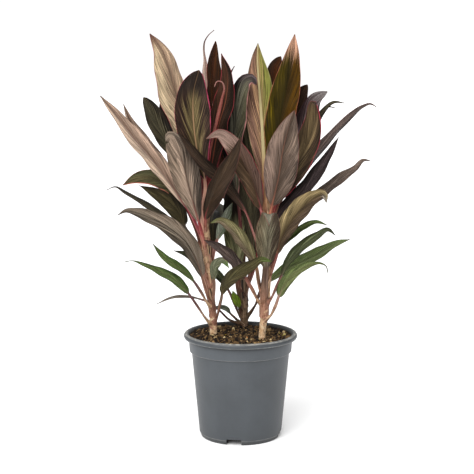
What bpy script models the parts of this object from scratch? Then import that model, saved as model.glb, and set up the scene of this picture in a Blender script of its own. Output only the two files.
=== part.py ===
"""Ti plant in a nursery pot: three canes with their long leaves, the soil and the pot.

The origin is on the pot's axis at floor level, +Z is up and the plant's front looks along -Y.
"""

import math
from collections import namedtuple

import bmesh
import bpy
import numpy as np

MM = 0.001
GAP = 0.3 * MM  # between one piece and the next
SHARP_ANGLE = math.radians(35)

# Pot: radii and heights of the shell
SIDES = 48
RIM_RADIUS = 85.0 * MM
RIM_HEIGHT = 157.0 * MM
ROLL_RADIUS = 5.7 * MM
COLLAR_TOP_RADIUS = 77.9 * MM
COLLAR_FOOT_RADIUS = 76.4 * MM
COLLAR_FOOT_HEIGHT = 129.9 * MM
STEP = 3.0 * MM  # how far the collar stands out from the wall below it
STEP_HEIGHT = 1.0 * MM
WALL = 1.8 * MM
LIP = 4.0 * MM
WALL_FOOT_RADIUS = 61.9 * MM
WALL_FOOT_HEIGHT = 6.4 * MM
BASE_RADIUS = 59.2 * MM
FOOT_CHAMFER_RADIUS = 60.6 * MM
FOOT_CHAMFER_HEIGHT = 5.0 * MM
FOOT_WIDTH = 3.2 * MM
FOOT_DRAFT = 1.5 * MM  # how far the sides of the foot and of the pad lean
FLOOR_TOP = 6.6 * MM
FLOOR_UNDERSIDE = 5.0 * MM
FLOOR_EDGE = (1.4 * MM, 1.6 * MM)  # width and height of the chamfer where the floor meets the wall
PAD_RADIUS = 14.0 * MM
ROLL_ARC = (-50, 115)  # where the rim's roll starts and ends, in degrees from straight out
ROLL_STEPS = 7
GROOVE_DRAFT = 0.3 * MM
GROOVE_TOP = 4.2 * MM  # below the rim's height, like the next two
ROLL_FOOT = 10.6 * MM
LIP_FOOT = 4.0 * MM
INNER_STEP = (2.0 * MM, 1.0 * MM)  # how far below and above the collar's foot the inside widens
NOTCH_WIDTH = 22.0 * MM
NOTCH_HEIGHT = 7.0 * MM
NOTCH_REACH = 9.0 * MM  # how far a notch cuts in from the base's edge
NOTCHES = 4
FIRST_NOTCH = math.radians(-98.6)  # a little left of the front
CUTTER_EXCESS = 4.0 * MM  # how far a cutter runs past what it cuts

# Soil
SOIL_TOP = 148.0 * MM
SOIL_BUMP = 1.6 * MM
SOIL_WAVES = [(210, 95, 0), (-160, 120, 1.3), (60, 300, 0.4)]  # radians per metre along X and Y, and phase
SOIL_RINGS = 6
HOLE_SLACK = 0.5 * MM

# Canes: places along each axis in mm, from the rooted end to the crown, and (height, radius) pairs. The young
# leaf stalks wrap round a cane in its upper half, which makes it thicker there.
CANE_SIDES = 12
CANE_STATION = 14.0
CANE_FEWEST = 8
SCAR_SWELL = 0.05
CANES = {
    "left": dict(
        axis=[(-41, 17, 80), (-41, 17, 130), (-41, 17, 152), (-43, 17, 200), (-50, 15, 270), (-56, 12, 335)],
        radii=[(80, 5.6), (165, 5.6), (205, 6.2), (300, 7.2), (335, 5.0)],
    ),
    "right": dict(
        axis=[(32, -14, 80), (32, -14, 130), (32, -14, 152), (36, -15, 200), (40, -17, 275), (43, -18, 335)],
        radii=[(80, 6.2), (165, 6.2), (205, 7.4), (300, 7.2), (335, 5.0)],
    ),
    "back": dict(
        axis=[(7, 60, 80), (7, 60, 130), (7, 60, 152), (5, 61, 200), (2, 62, 255)],
        radii=[(80, 4.6), (160, 4.6), (195, 7.0), (255, 6.0)],
    ),
}

# Leaves. height is where the stalk leaves the cane's axis, and route its course from there to the tip, in mm.
# blade is the share of that course that is bare stalk, width the blade's widest measure, and widest where
# that is along the blade. The side seen from the front looks along front, turned by roll degrees about the
# course, first at the stalk's end and then at the tip. A positive fold raises both edges towards that side.
# wave is how far the edges ripple, and stalk a factor on the bare stalk's width.
FORWARD = (0, -1, 0)
UP_AND_FORWARD = (0, -1, 1)
DOWN_AND_FORWARD = (0, -1, -3)
LEAF_FIELDS = "height route blade width roll fold wave widest stalk front"
Leaf = namedtuple("Leaf", LEAF_FIELDS, defaults=(14, 1.5, 0.45, 1.0, FORWARD))

LEFT_LEAVES = [
    # tall and upright, in the middle
    Leaf(300, [(-60, 14, 362), (-77, 18, 429), (-90, 21, 480), (-98, 22, 514), (-107, 21, 547),
               (-116, 19, 574), (-133, 16, 599)], 0.34, 52, (35, 35), fold=-14),
    Leaf(246, [(-53, 10, 295), (-57, 2, 334), (-52, -6, 379), (-55, -10, 401), (-62, -13, 423),
               (-66, -15, 448), (-69, -17, 486), (-68, -18, 515), (-60, -20, 546)],
         0.46, 54, (0, -10), widest=0.6),
    Leaf(326, [(-52, 18, 369), (-46, 27, 414), (-41, 32, 473), (-40, 36, 524), (-41, 38, 561),
               (-37, 38, 589)], 0.3, 38, (40, 40), widest=0.55),
    Leaf(320, [(-55, 20, 377), (-52, 32, 428), (-48, 42, 488), (-50, 42, 529), (-52, 40, 558),
               (-54, 38, 578), (-53, 36, 588), (-48, 35, 597), (-39, 34, 605)],
         0.3, 32, (55, 60), widest=0.42),
    Leaf(312, [(-48, 8, 370), (-41, 4, 415), (-32, 2, 466), (-21, 2, 506), (-19, 2, 539),
               (-28, 2, 570)], 0.28, 42, (-40, -40)),
    Leaf(322, [(-50, 2, 377), (-44, -4, 429), (-36, -6, 481), (-32, -8, 510), (-36, -8, 529)],
         0.5, 16, (0, 0)),
    Leaf(306, [(-42, 14, 370), (-30, 16, 429), (-20, 16, 488), (-16, 16, 529), (-15, 16, 541),
               (-9, 16, 552)], 0.6, 9, (30, 30)),
    Leaf(292, [(-51, -2, 334), (-43, -19, 358), (-34, -37, 379), (-21, -50, 404), (-10, -62, 425),
               (0, -72, 452)], 0.18, 31, (-25, -30), fold=-14),
    # leaning out to the left
    Leaf(262, [(-60, 8, 303), (-75, 2, 337), (-93, -4, 366), (-122, -12, 409), (-154, -18, 448),
               (-180, -22, 482), (-202, -24, 509)], 0.3, 35, (-40, -35), fold=-10),
    Leaf(284, [(-61, 12, 307), (-84, 8, 360), (-121, 3, 414), (-150, 0, 454), (-163, -1, 475),
               (-171, -2, 497)], 0.4, 22, (-30, -30), fold=-10),
    Leaf(262, [(-59, -4, 314), (-67, -14, 344), (-76, -24, 379), (-85, -34, 417), (-93, -40, 443),
               (-101, -36, 457), (-106, -26, 448)], 0.22, 46, (0, 0), fold=-12),
    Leaf(318, [(-59, 22, 362), (-81, 26, 399), (-104, 32, 433), (-125, 38, 467), (-135, 41, 489),
               (-145, 42, 506)], 0.3, 38, (30, 30), widest=0.66),
    Leaf(308, [(-59, 24, 369), (-76, 38, 406), (-94, 50, 443), (-110, 56, 475), (-124, 58, 501)],
         0.35, 30, (20, 20)),
    Leaf(262, [(-59, 16, 284), (-66, 18, 308), (-78, 20, 336), (-92, 20, 363), (-112, 16, 381),
               (-134, 12, 388), (-154, 6, 387), (-174, 0, 378)], 0.46, 30, (30, 30), stalk=1.3),
    Leaf(250, [(-68, 14, 293), (-82, 14, 312), (-91, 13, 332), (-106, 10, 351), (-127, 4, 366),
               (-149, -4, 378)], 0.44, 27, (20, 20), widest=0.36),
    Leaf(232, [(-55, 15, 252), (-62, 17, 276), (-74, 18, 296), (-95, 17, 314), (-143, 14, 348),
               (-172, 9, 366), (-186, 3, 375), (-198, -2, 371)], 0.4, 15, (40, 80), stalk=1.7),
    Leaf(200, [(-55, 2, 233), (-60, -4, 252), (-69, -10, 275), (-81, -16, 296), (-95, -21, 310),
               (-110, -26, 322), (-129, -31, 332), (-150, -35, 341), (-166, -37, 344),
               (-178, -39, 338)], 0.24, 34, (45, 45), widest=0.42, stalk=1.6),
    Leaf(194, [(-52, 6, 205), (-60, -2, 220), (-71, -10, 238), (-88, -18, 256), (-109, -24, 271),
               (-120, -27, 283), (-128, -30, 295)], 0.3, 19, (50, 50)),
    Leaf(170, [(-53, 8, 178), (-64, 0, 196), (-80, -10, 221), (-97, -20, 240), (-118, -28, 253),
               (-142, -34, 265), (-167, -38, 272)], 0.34, 20, (50, 50)),
    # short ones in front of the canes
    Leaf(172, [(-34, 6, 186), (-29, -4, 207), (-25, -19, 227), (-15, -34, 243), (-1, -44, 255),
               (16, -50, 265), (31, -54, 275), (45, -57, 273)], 0.36, 24, (-40, -40)),
    Leaf(188, [(-41, 4, 205), (-39, -8, 230), (-39, -20, 252), (-35, -28, 265), (-26, -34, 270),
               (-17, -40, 261)], 0.45, 16, (-20, -40)),
    # behind
    Leaf(246, [(-42, 22, 260), (-38, 25, 278), (-34, 28, 293), (-29, 32, 310), (-23, 37, 331),
               (-16, 44, 357)], 0.48, 25, (0, 0)),
    Leaf(300, [(-60, 40, 370), (-70, 76, 430), (-80, 110, 470), (-86, 140, 482)],
         0.3, 40, (20, 20), front=UP_AND_FORWARD),
    Leaf(290, [(-56, 44, 360), (-54, 88, 425), (-50, 128, 452), (-48, 165, 446)],
         0.3, 42, (0, 0), front=UP_AND_FORWARD),
    Leaf(280, [(-62, 36, 335), (-76, 72, 372), (-90, 108, 385), (-100, 140, 375)],
         0.34, 36, (20, 20), front=UP_AND_FORWARD),
    Leaf(252, [(-43, 40, 283), (-48, 80, 318), (-53, 120, 326), (-58, 156, 312)],
         0.2, 34, (0, 10), front=UP_AND_FORWARD),
    Leaf(296, [(-45, 36, 360), (-42, 66, 425), (-40, 90, 475), (-38, 106, 503)],
         0.3, 40, (-10, -10), front=UP_AND_FORWARD),
]

RIGHT_LEAVES = [
    # tall and upright, in the middle
    Leaf(318, [(34, -16, 350), (34, 3, 408), (32, 22, 459), (29, 39, 505), (26, 46, 544), (25, 48, 567),
               (26, 50, 586)], 0.24, 50, (0, 10), widest=0.52),
    Leaf(326, [(40, -18, 358), (43, -10, 409), (52, -2, 459), (62, 4, 496), (68, 8, 525), (75, 11, 561),
               (79, 12, 598)], 0.24, 48, (-20, -20), widest=0.44),
    Leaf(306, [(44, 4, 372), (45, 34, 429), (49, 50, 488), (49, 58, 529), (51, 62, 551), (61, 64, 567)],
         0.4, 33, (20, 20), widest=0.66),
    Leaf(306, [(46, -8, 365), (64, 10, 415), (76, 20, 466), (86, 25, 500), (92, 26, 514),
               (99, 27, 525)], 0.36, 34, (-20, -20), widest=0.6),
    Leaf(292, [(43, -26, 337), (48, -38, 363), (55, -48, 397), (60, -55, 433), (68, -60, 466),
               (76, -62, 490)], 0.2, 50, (-12, -12), fold=-10),
    Leaf(300, [(52, -20, 351), (66, -26, 379), (84, -30, 414), (98, -32, 446), (104, -32, 475),
               (104, -30, 498), (109, -18, 492)], 0.26, 38, (-20, -20), fold=12),
    Leaf(310, [(52, -14, 358), (73, -4, 401), (90, 4, 447), (100, 8, 481), (110, 9, 504),
               (127, 8, 515)], 0.3, 34, (-10, -10), widest=0.55),
    Leaf(296, [(55, -12, 358), (84, 8, 405), (106, 14, 450), (121, 18, 484), (138, 20, 499),
               (154, 20, 498)], 0.5, 14, (-50, -50)),
    Leaf(288, [(58, -4, 352), (86, 18, 402), (108, 24, 450), (120, 27, 480), (129, 28, 492),
               (140, 28, 491)], 0.5, 12, (-50, -50)),
    # leaning over to the left
    Leaf(286, [(31, -22, 339), (25, -24, 366), (18, -26, 388), (9, -27, 410), (-1, -28, 429),
               (-14, -28, 445), (-30, -28, 457), (-50, -30, 448)], 0.22, 34, (20, 20), fold=-10),
    Leaf(256, [(18, -26, 312), (9, -22, 337), (-1, -16, 354), (-34, -14, 394), (-54, -33, 413),
               (-71, -46, 435), (-90, -57, 460)], 0.34, 24, (45, 45), fold=-10),
    Leaf(196, [(30, -20, 222), (26, -24, 240), (23, -28, 259), (17, -33, 275), (9, -37, 288),
               (-1, -39, 303), (-15, -41, 320), (-30, -42, 330), (-44, -42, 327)],
         0.4, 27, (50, 50), stalk=1.5),
    Leaf(192, [(26, -18, 209), (14, -20, 231), (4, -22, 248), (-7, -24, 264), (-21, -25, 279),
               (-39, -25, 292), (-54, -25, 300)], 0.4, 24, (50, 50), stalk=1.3),
    # towards the front
    Leaf(254, [(39, -30, 286), (39, -48, 306), (40, -68, 329), (40, -88, 345), (39, -104, 343),
               (39, -116, 332)], 0.26, 36, (0, 0), fold=-10, wave=1.0, front=DOWN_AND_FORWARD),
    # leaning out to the right
    Leaf(302, [(65, -14, 370), (87, -8, 392), (106, -4, 418), (126, -2, 442), (144, -2, 462),
               (162, -2, 480), (178, -2, 493), (190, -2, 497), (198, -2, 493)],
         0.2, 24, (50, 50), fold=-12),
    Leaf(290, [(60, -30, 341), (72, -36, 356), (93, -40, 376), (113, -41, 403), (128, -41, 427),
               (141, -40, 452)], 0.18, 28, (-48, -48)),
    Leaf(280, [(52, -18, 299), (74, -10, 328), (98, -6, 348), (123, -4, 368), (148, -4, 388),
               (169, -4, 403), (181, -4, 415), (191, -4, 414)], 0.3, 26, (-58, -58)),
    Leaf(224, [(40, -20, 232), (46, -24, 255), (53, -30, 278), (58, -36, 300), (70, -42, 326),
               (87, -48, 349), (105, -52, 366), (119, -54, 373), (121, -56, 360)],
         0.34, 34, (-35, -35)),
    Leaf(240, [(46, -20, 267), (58, -24, 286), (75, -30, 306), (93, -36, 321), (110, -40, 328),
               (125, -42, 324)], 0.4, 14, (-55, -55)),
    Leaf(204, [(42, -20, 208), (49, -28, 223), (58, -36, 245), (70, -44, 272), (89, -50, 294),
               (111, -54, 310), (125, -57, 319), (136, -58, 311)], 0.34, 20, (-50, -50)),
    Leaf(180, [(44, -20, 187), (51, -30, 202), (57, -40, 222), (69, -52, 246), (86, -60, 262),
               (104, -64, 270), (117, -66, 271), (123, -66, 261)], 0.34, 20, (-40, -40)),
    # behind
    Leaf(308, [(58, 10, 380), (80, 36, 430), (95, 58, 454), (106, 82, 455)],
         0.3, 38, (-15, -15), front=UP_AND_FORWARD),
    Leaf(294, [(50, 34, 366), (60, 68, 418), (67, 100, 446), (71, 130, 444)],
         0.3, 40, (0, 0), front=UP_AND_FORWARD),
    Leaf(284, [(52, 30, 340), (58, 74, 370), (64, 116, 376), (68, 150, 360)],
         0.34, 36, (-10, -10), front=UP_AND_FORWARD),
    Leaf(272, [(50, 18, 312), (66, 46, 330), (82, 76, 328), (92, 104, 308)],
         0.34, 34, (-20, -20), front=UP_AND_FORWARD),
    Leaf(294, [(42, 14, 360), (51, 54, 425), (57, 84, 475), (60, 104, 500)],
         0.3, 38, (10, 10), front=UP_AND_FORWARD),
]

BACK_LEAVES = [
    Leaf(236, [(-1, 56, 327), (-10, 48, 404), (-11, 36, 442), (-7, 26, 472), (-3, 21, 499),
               (2, 18, 519), (9, 17, 531), (17, 17, 533), (23, 20, 524)],
         0.36, 40, (-30, -30), widest=0.58),
    Leaf(190, [(-4, 56, 222), (-6, 57, 254), (-8, 58, 281), (-10, 60, 311), (-14, 62, 350),
               (-16, 64, 384)], 0.32, 34, (0, 0), stalk=1.8),
    Leaf(184, [(10, 58, 215), (17, 58, 240), (19, 62, 310), (20, 64, 380), (20, 66, 440),
               (18, 72, 488)], 0.34, 38, (0, 0), stalk=1.6),
    Leaf(160, [(-8, 56, 187), (-19, 52, 212), (-31, 47, 231), (-50, 42, 248), (-69, 38, 260),
               (-84, 34, 270), (-101, 30, 276)], 0.36, 20, (50, 50)),
    Leaf(158, [(-7, 57, 160), (-15, 54, 164), (-33, 46, 182), (-53, 38, 197), (-77, 28, 205),
               (-103, 18, 206), (-126, 10, 198)], 0.55, 8, (60, 60), stalk=0.8),
    Leaf(166, [(2, 52, 180), (-1, 46, 191), (-5, 42, 204), (-7, 38, 214)], 0.35, 12, (0, 0)),
    Leaf(162, [(-8, 55, 167), (-16, 49, 176), (-21, 45, 183), (-30, 40, 187), (-40, 36, 188)],
         0.5, 9, (40, 40), stalk=0.7),
    Leaf(170, [(17, 56, 178), (24, 50, 192), (31, 44, 212), (45, 38, 228), (64, 30, 245), (91, 24, 259),
               (119, 18, 274), (144, 14, 289), (163, 10, 296)], 0.36, 26, (-50, -50)),
    Leaf(226, [(-8, 72, 290), (-14, 98, 360), (-18, 130, 420), (-20, 160, 455), (-22, 185, 468)],
         0.34, 42, (10, 10), front=UP_AND_FORWARD),
    Leaf(232, [(8, 72, 290), (17, 98, 355), (25, 132, 410), (38, 162, 440), (42, 188, 450)],
         0.34, 42, (-10, -10), front=UP_AND_FORWARD),
    Leaf(216, [(2, 84, 280), (0, 116, 335), (-3, 156, 380), (-5, 196, 395), (-6, 232, 385)],
         0.34, 40, (0, 0), front=UP_AND_FORWARD),
    Leaf(206, [(-8, 74, 240), (-16, 100, 290), (-23, 134, 322), (-27, 168, 330), (-30, 198, 316)],
         0.36, 38, (20, 20), front=UP_AND_FORWARD),
    Leaf(200, [(20, 72, 238), (32, 96, 282), (46, 128, 308), (58, 158, 308), (68, 186, 290)],
         0.36, 34, (-20, -20), front=UP_AND_FORWARD),
    Leaf(192, [(0, 84, 240), (-6, 112, 278), (-12, 152, 300), (-18, 192, 294), (-22, 226, 270)],
         0.36, 32, (0, 0), front=UP_AND_FORWARD),
    Leaf(186, [(14, 80, 228), (23, 106, 262), (32, 144, 284), (40, 182, 276), (46, 212, 254)],
         0.3, 38, (0, 0), front=UP_AND_FORWARD),
]

# Leaf build, in mm: distance between stations, then the measures of stalk and blade. A pair or three values
# are for the stalk's start, the blade's start and the tip.
LEAF_STATION = 27.0
FEWEST_STATIONS = 7
COURSE_STEPS = 24  # straight pieces that a curve is measured with between two of its points
STALK_HALF_WIDTH = (3.4, 2.2)
RIB_THICKNESS = (4.0, 2.4, 1.1)
EDGE_THICKNESS = 0.8
TIP_HALF_WIDTH = 0.6
SLENDER = 1.7  # a larger value makes both ends of a blade more pointed
WAVES = 3.5


def clear_scene():
    for obj in list(bpy.data.objects):
        bpy.data.objects.remove(obj, do_unlink=True)


def material(name, colour, roughness):
    mat = bpy.data.materials.new(name)
    mat.use_nodes = True
    shader = mat.node_tree.nodes["Principled BSDF"]
    shader.inputs["Base Color"].default_value = (*colour, 1.0)
    shader.inputs["Roughness"].default_value = roughness
    shader.inputs["Metallic"].default_value = 0.0
    mat.diffuse_color = (*colour, 1.0)
    return mat


def new_object(name, bm, mat):
    """Makes an object of a bmesh, with its faces pointing out. A cutter has no material."""
    bm.normal_update()
    bmesh.ops.recalc_face_normals(bm, faces=bm.faces)
    mesh = bpy.data.meshes.new(name)
    bm.to_mesh(mesh)
    bm.free()
    if mat:
        mesh.materials.append(mat)
    mesh.shade_smooth()
    mesh.set_sharp_from_angle(angle=SHARP_ANGLE)
    obj = bpy.data.objects.new(name, mesh)
    bpy.context.scene.collection.objects.link(obj)
    return obj


def turned(name, profile, mat):
    """Turns a profile of (radius, height) points, both ends on the axis, once round the Z axis."""
    bm = bmesh.new()
    verts = [bm.verts.new((radius, 0, height)) for radius, height in profile]
    edges = [bm.edges.new(pair) for pair in zip(verts, verts[1:])]
    bmesh.ops.spin(bm, geom=verts + edges, cent=(0, 0, 0), axis=(0, 0, 1), angle=2 * math.pi, steps=SIDES)
    bmesh.ops.remove_doubles(bm, verts=bm.verts, dist=0.001 * MM)
    return new_object(name, bm, mat)


def arc(centre, radius, start, end, steps):
    """Points on an arc in the profile's plane, with its angles in degrees."""
    angles = np.radians(np.linspace(start, end, steps + 1))
    return [(centre[0] + radius * math.cos(a), centre[1] + radius * math.sin(a)) for a in angles]


def boolean(obj, operation, other=None, collection=None):
    """Applies one Boolean to an object and keeps the result as its mesh."""
    modifier = obj.modifiers.new(operation.title(), "BOOLEAN")
    modifier.operation = operation
    if collection:
        modifier.operand_type = "COLLECTION"
        modifier.collection = collection
    else:
        modifier.object = other
    graph = bpy.context.evaluated_depsgraph_get()
    mesh = bpy.data.meshes.new_from_object(obj.evaluated_get(graph))
    obj.modifiers.clear()
    obj.data = mesh


def cut(obj, cutter):
    """Takes a cutter away from an object, and then removes the cutter."""
    cutter.hide_render = True
    boolean(obj, "DIFFERENCE", other=cutter)
    bpy.data.objects.remove(cutter, do_unlink=True)


def inner_wall():
    """The pot's inside from the floor to under the rim, as (radius, height) points."""
    return [
        (WALL_FOOT_RADIUS - WALL - FLOOR_EDGE[0], FLOOR_TOP),
        (WALL_FOOT_RADIUS - WALL, FLOOR_TOP + FLOOR_EDGE[1]),
        (COLLAR_FOOT_RADIUS - STEP - WALL, COLLAR_FOOT_HEIGHT - INNER_STEP[0]),
        (COLLAR_FOOT_RADIUS - WALL, COLLAR_FOOT_HEIGHT + INNER_STEP[1]),
        (COLLAR_TOP_RADIUS - WALL, RIM_HEIGHT - LIP_FOOT),
    ]


def make_pot(mat):
    roll_centre = (RIM_RADIUS - ROLL_RADIUS, RIM_HEIGHT - ROLL_RADIUS)
    profile = [
        (0, 0),
        (PAD_RADIUS, 0),
        (PAD_RADIUS + FOOT_DRAFT, FLOOR_UNDERSIDE),
        (BASE_RADIUS - FOOT_WIDTH - FOOT_DRAFT, FLOOR_UNDERSIDE),
        (BASE_RADIUS - FOOT_WIDTH, 0),
        (BASE_RADIUS, 0),
        (FOOT_CHAMFER_RADIUS, FOOT_CHAMFER_HEIGHT),
        (WALL_FOOT_RADIUS, WALL_FOOT_HEIGHT),
        (COLLAR_FOOT_RADIUS - STEP, COLLAR_FOOT_HEIGHT - STEP_HEIGHT),
        (COLLAR_FOOT_RADIUS, COLLAR_FOOT_HEIGHT),
        (COLLAR_TOP_RADIUS, RIM_HEIGHT - ROLL_FOOT),
        (COLLAR_TOP_RADIUS + GROOVE_DRAFT, RIM_HEIGHT - GROOVE_TOP),
        (RIM_RADIUS - LIP, RIM_HEIGHT - GROOVE_TOP),
        (RIM_RADIUS - LIP, RIM_HEIGHT - ROLL_FOOT),
    ]
    profile += arc(roll_centre, ROLL_RADIUS, *ROLL_ARC, ROLL_STEPS)
    profile += reversed(inner_wall())
    profile.append((0, FLOOR_TOP))
    pot = turned("pot", profile, mat)
    for number in range(NOTCHES):
        cut(pot, notch_cutter(FIRST_NOTCH + number * 2 * math.pi / NOTCHES))
    return pot


def notch_cutter(angle):
    """A block across the base's edge, at this angle round the axis from +X."""
    bm = bmesh.new()
    bmesh.ops.create_cube(bm, size=1.0)
    inner, outer = BASE_RADIUS - NOTCH_REACH, WALL_FOOT_RADIUS + CUTTER_EXCESS
    for vert in bm.verts:
        along = inner if vert.co.x < 0 else outer
        across = math.copysign(NOTCH_WIDTH / 2, vert.co.y)
        height = NOTCH_HEIGHT if vert.co.z > 0 else -CUTTER_EXCESS
        vert.co = (
            along * math.cos(angle) - across * math.sin(angle),
            along * math.sin(angle) + across * math.cos(angle),
            height,
        )
    return new_object("notch", bm, None)


def soil_height(x, y):
    """Low mounds: the mean of three crossed waves, each a few centimetres long."""
    wave = sum(math.sin(across * x + along * y + phase) for across, along, phase in SOIL_WAVES)
    return SOIL_TOP + SOIL_BUMP * wave / len(SOIL_WAVES)


def make_soil(mat):
    """Fills the pot a gap inside its wall, with a mounded top of rings and a plain hole for each cane."""
    wall = [(radius - GAP, max(height, FLOOR_TOP + GAP)) for radius, height in inner_wall()[:-1]]
    (low_r, low_z), (high_r, high_z) = inner_wall()[-2:]
    edge = low_r + (high_r - low_r) * (SOIL_TOP - SOIL_BUMP - low_z) / (high_z - low_z) - GAP
    bm = bmesh.new()
    angles = [2 * math.pi * i / SIDES for i in range(SIDES)]
    rings = [[bm.verts.new((r * math.cos(a), r * math.sin(a), z)) for a in angles] for r, z in wall]
    for ring in range(SOIL_RINGS):
        radius = edge * (1 - ring / SOIL_RINGS)
        spots = [(radius * math.cos(a), radius * math.sin(a)) for a in angles]
        sunk = 0 if ring else SOIL_BUMP
        rings.append([bm.verts.new((x, y, soil_height(x, y) - sunk)) for x, y in spots])
    for lower, upper in zip(rings, rings[1:]):
        for i in range(SIDES):
            j = (i + 1) % SIDES
            bm.faces.new((lower[i], lower[j], upper[j]))
            bm.faces.new((lower[i], upper[j], upper[i]))
    for ring, height in ((rings[0], FLOOR_TOP + GAP), (rings[-1], soil_height(0, 0))):
        middle = bm.verts.new((0, 0, height))
        for i in range(SIDES):
            bm.faces.new((ring[i], ring[(i + 1) % SIDES], middle))
    soil = new_object("soil", bm, mat)
    for cane in CANES.values():
        cut(soil, hole_cutter(cane))
    return soil


def hole_cutter(cane):
    """A cylinder round the rooted end of a cane, as many-sided as the cane and a little wider."""
    bottom = np.array(cane["axis"][0], float)
    top = np.array([*bottom[:2], (SOIL_TOP + SOIL_BUMP + CUTTER_EXCESS) / MM])
    bottom[2] -= GAP / MM
    radius = cane["radii"][0][1] * (1 + SCAR_SWELL) + HOLE_SLACK / MM
    return lofted("hole", np.stack([bottom, top])[:, None] + radius * cane_circle(), (), None)


def lofted(name, rings, mirrored, mat):
    """A closed body through rings of points in mm. Each quad is split by its diagonal, the other way in the
    columns listed as mirrored, so that a thin blade's two faces are split alike."""
    bm = bmesh.new()
    rows = [[bm.verts.new(point) for point in ring] for ring in rings * MM]
    columns = len(rows[0])
    for low, high in zip(rows, rows[1:]):
        for a in range(columns):
            b = (a + 1) % columns
            if a in mirrored:
                bm.faces.new((low[a], low[b], high[a]))
                bm.faces.new((low[b], high[b], high[a]))
            else:
                bm.faces.new((low[a], low[b], high[b]))
                bm.faces.new((low[a], high[b], high[a]))
    caps = [bm.faces.new(row) for row in (rows[0], rows[-1])]
    bmesh.ops.triangulate(bm, faces=caps)
    return new_object(name, bm, mat)


def smooth_course(points, spacing, fewest):
    """Evenly spaced places on the cubic curve through the points, and the share of the length at each.

    Between two points the curve is a cubic Hermite. Its slope at a point is the mean of the slopes of the two
    chords that meet there, each weighted by the other's length.
    """
    points = np.array(points, float)
    chord = np.linalg.norm(np.diff(points, axis=0), axis=1)[:, None]
    slope = np.diff(points, axis=0) / chord
    inner = (slope[:-1] * chord[1:] + slope[1:] * chord[:-1]) / (chord[1:] + chord[:-1])
    slopes = np.concatenate([slope[:1], inner, slope[-1:]])
    t = np.linspace(0, 1, COURSE_STEPS, endpoint=False)[None, :, None]
    p0, p1 = points[:-1, None], points[1:, None]
    m0, m1 = slopes[:-1, None] * chord[:, None], slopes[1:, None] * chord[:, None]
    bend = 3 * t**2 - 2 * t**3
    curve = p0 + bend * (p1 - p0) + (t**3 - 2 * t**2 + t) * m0 + (t**3 - t**2) * m1
    curve = np.concatenate([curve.reshape(-1, 3), points[-1:]])
    reach = np.concatenate([[0], np.cumsum(np.linalg.norm(np.diff(curve, axis=0), axis=1))])
    count = max(fewest, round(reach[-1] / spacing) + 1)
    share = np.linspace(0, 1, count)
    places = np.stack([np.interp(share * reach[-1], reach, curve[:, k]) for k in range(3)], -1)
    return places, share


def unit(vectors):
    return vectors / np.linalg.norm(vectors, axis=-1, keepdims=True)


def cane_axis(cane):
    return smooth_course(cane["axis"], CANE_STATION, CANE_FEWEST)[0]


def cane_circle():
    """A level circle of radius 1, with as many corners as a cane has sides."""
    angles = 2 * math.pi * np.arange(CANE_SIDES) / CANE_SIDES
    return np.stack([np.cos(angles), np.sin(angles), np.zeros(CANE_SIDES)], -1)


def make_cane(name, cane, mat):
    """A tube, swollen a little at every second station, where old leaves left their scars."""
    axis = cane_axis(cane)
    radius = np.interp(axis[:, 2], *zip(*cane["radii"])) * (1 + SCAR_SWELL * (np.arange(len(axis)) % 2))
    return lofted(name, axis[:, None] + radius[:, None, None] * cane_circle(), (), mat)


def leaf_course(leaf, cane):
    """The leaf's route from the cane's axis outwards."""
    axis = cane_axis(cane)
    root = [np.interp(leaf.height, axis[:, 2], axis[:, k]) for k in range(3)]
    return [root, *leaf.route]


def blade_share(leaf, share):
    return np.clip((share - leaf.blade) / (1 - leaf.blade), 0, 1)


def half_widths(leaf, share):
    """Half the leaf's width along its course: a bare stalk, then a lance-shaped blade, which is the product
    of a power of the distance from its start and a power of the distance from its tip."""
    blade = blade_share(leaf, share)
    growth, taper = SLENDER * leaf.widest, SLENDER * (1 - leaf.widest)
    most = leaf.widest**growth * (1 - leaf.widest) ** taper
    lance = leaf.width / 2 * blade**growth * (1 - blade) ** taper / most
    start, end = np.array(STALK_HALF_WIDTH) * leaf.stalk
    stalk = np.interp(share, (0, leaf.blade, 1), (start, end, TIP_HALF_WIDTH))
    return np.maximum(lance, stalk)


def leaf_frame(leaf, places, share):
    """The course's side and face directions at each place."""
    ahead = unit(np.gradient(places, axis=0))
    seen = unit(np.array(leaf.front, float))
    side = unit(np.cross(ahead, seen))
    face = np.cross(side, ahead)
    roll = np.radians(np.interp(blade_share(leaf, share), (0, 1), leaf.roll))[:, None]
    return np.cos(roll) * side - np.sin(roll) * face, np.cos(roll) * face + np.sin(roll) * side


def make_leaf(leaf, cane, mat):
    """A thin blade in six columns: left edge, rib and right edge on the seen side, then back on the other."""
    places, share = smooth_course(leaf_course(leaf, cane), LEAF_STATION, FEWEST_STATIONS)
    side, face = leaf_frame(leaf, places, share)
    blade = blade_share(leaf, share)
    half = half_widths(leaf, share)[:, None]
    fold = math.radians(leaf.fold)
    ripple = leaf.wave * np.sin(math.pi * blade) * np.sin(2 * math.pi * WAVES * blade)
    rib = np.interp(share, (0, leaf.blade, 1), RIB_THICKNESS)[:, None] / 2
    edge = EDGE_THICKNESS / 2
    lift = math.sin(fold) * half
    left = places - math.cos(fold) * half * side + (lift + ripple[:, None]) * face
    right = places + math.cos(fold) * half * side + (lift - ripple[:, None]) * face
    rings = np.stack(
        [left + edge * face, places + rib * face, right + edge * face]
        + [right - edge * face, places - rib * face, left - edge * face],
        axis=1,
    )
    return lofted("leaf", rings, (3, 4), mat)


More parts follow.
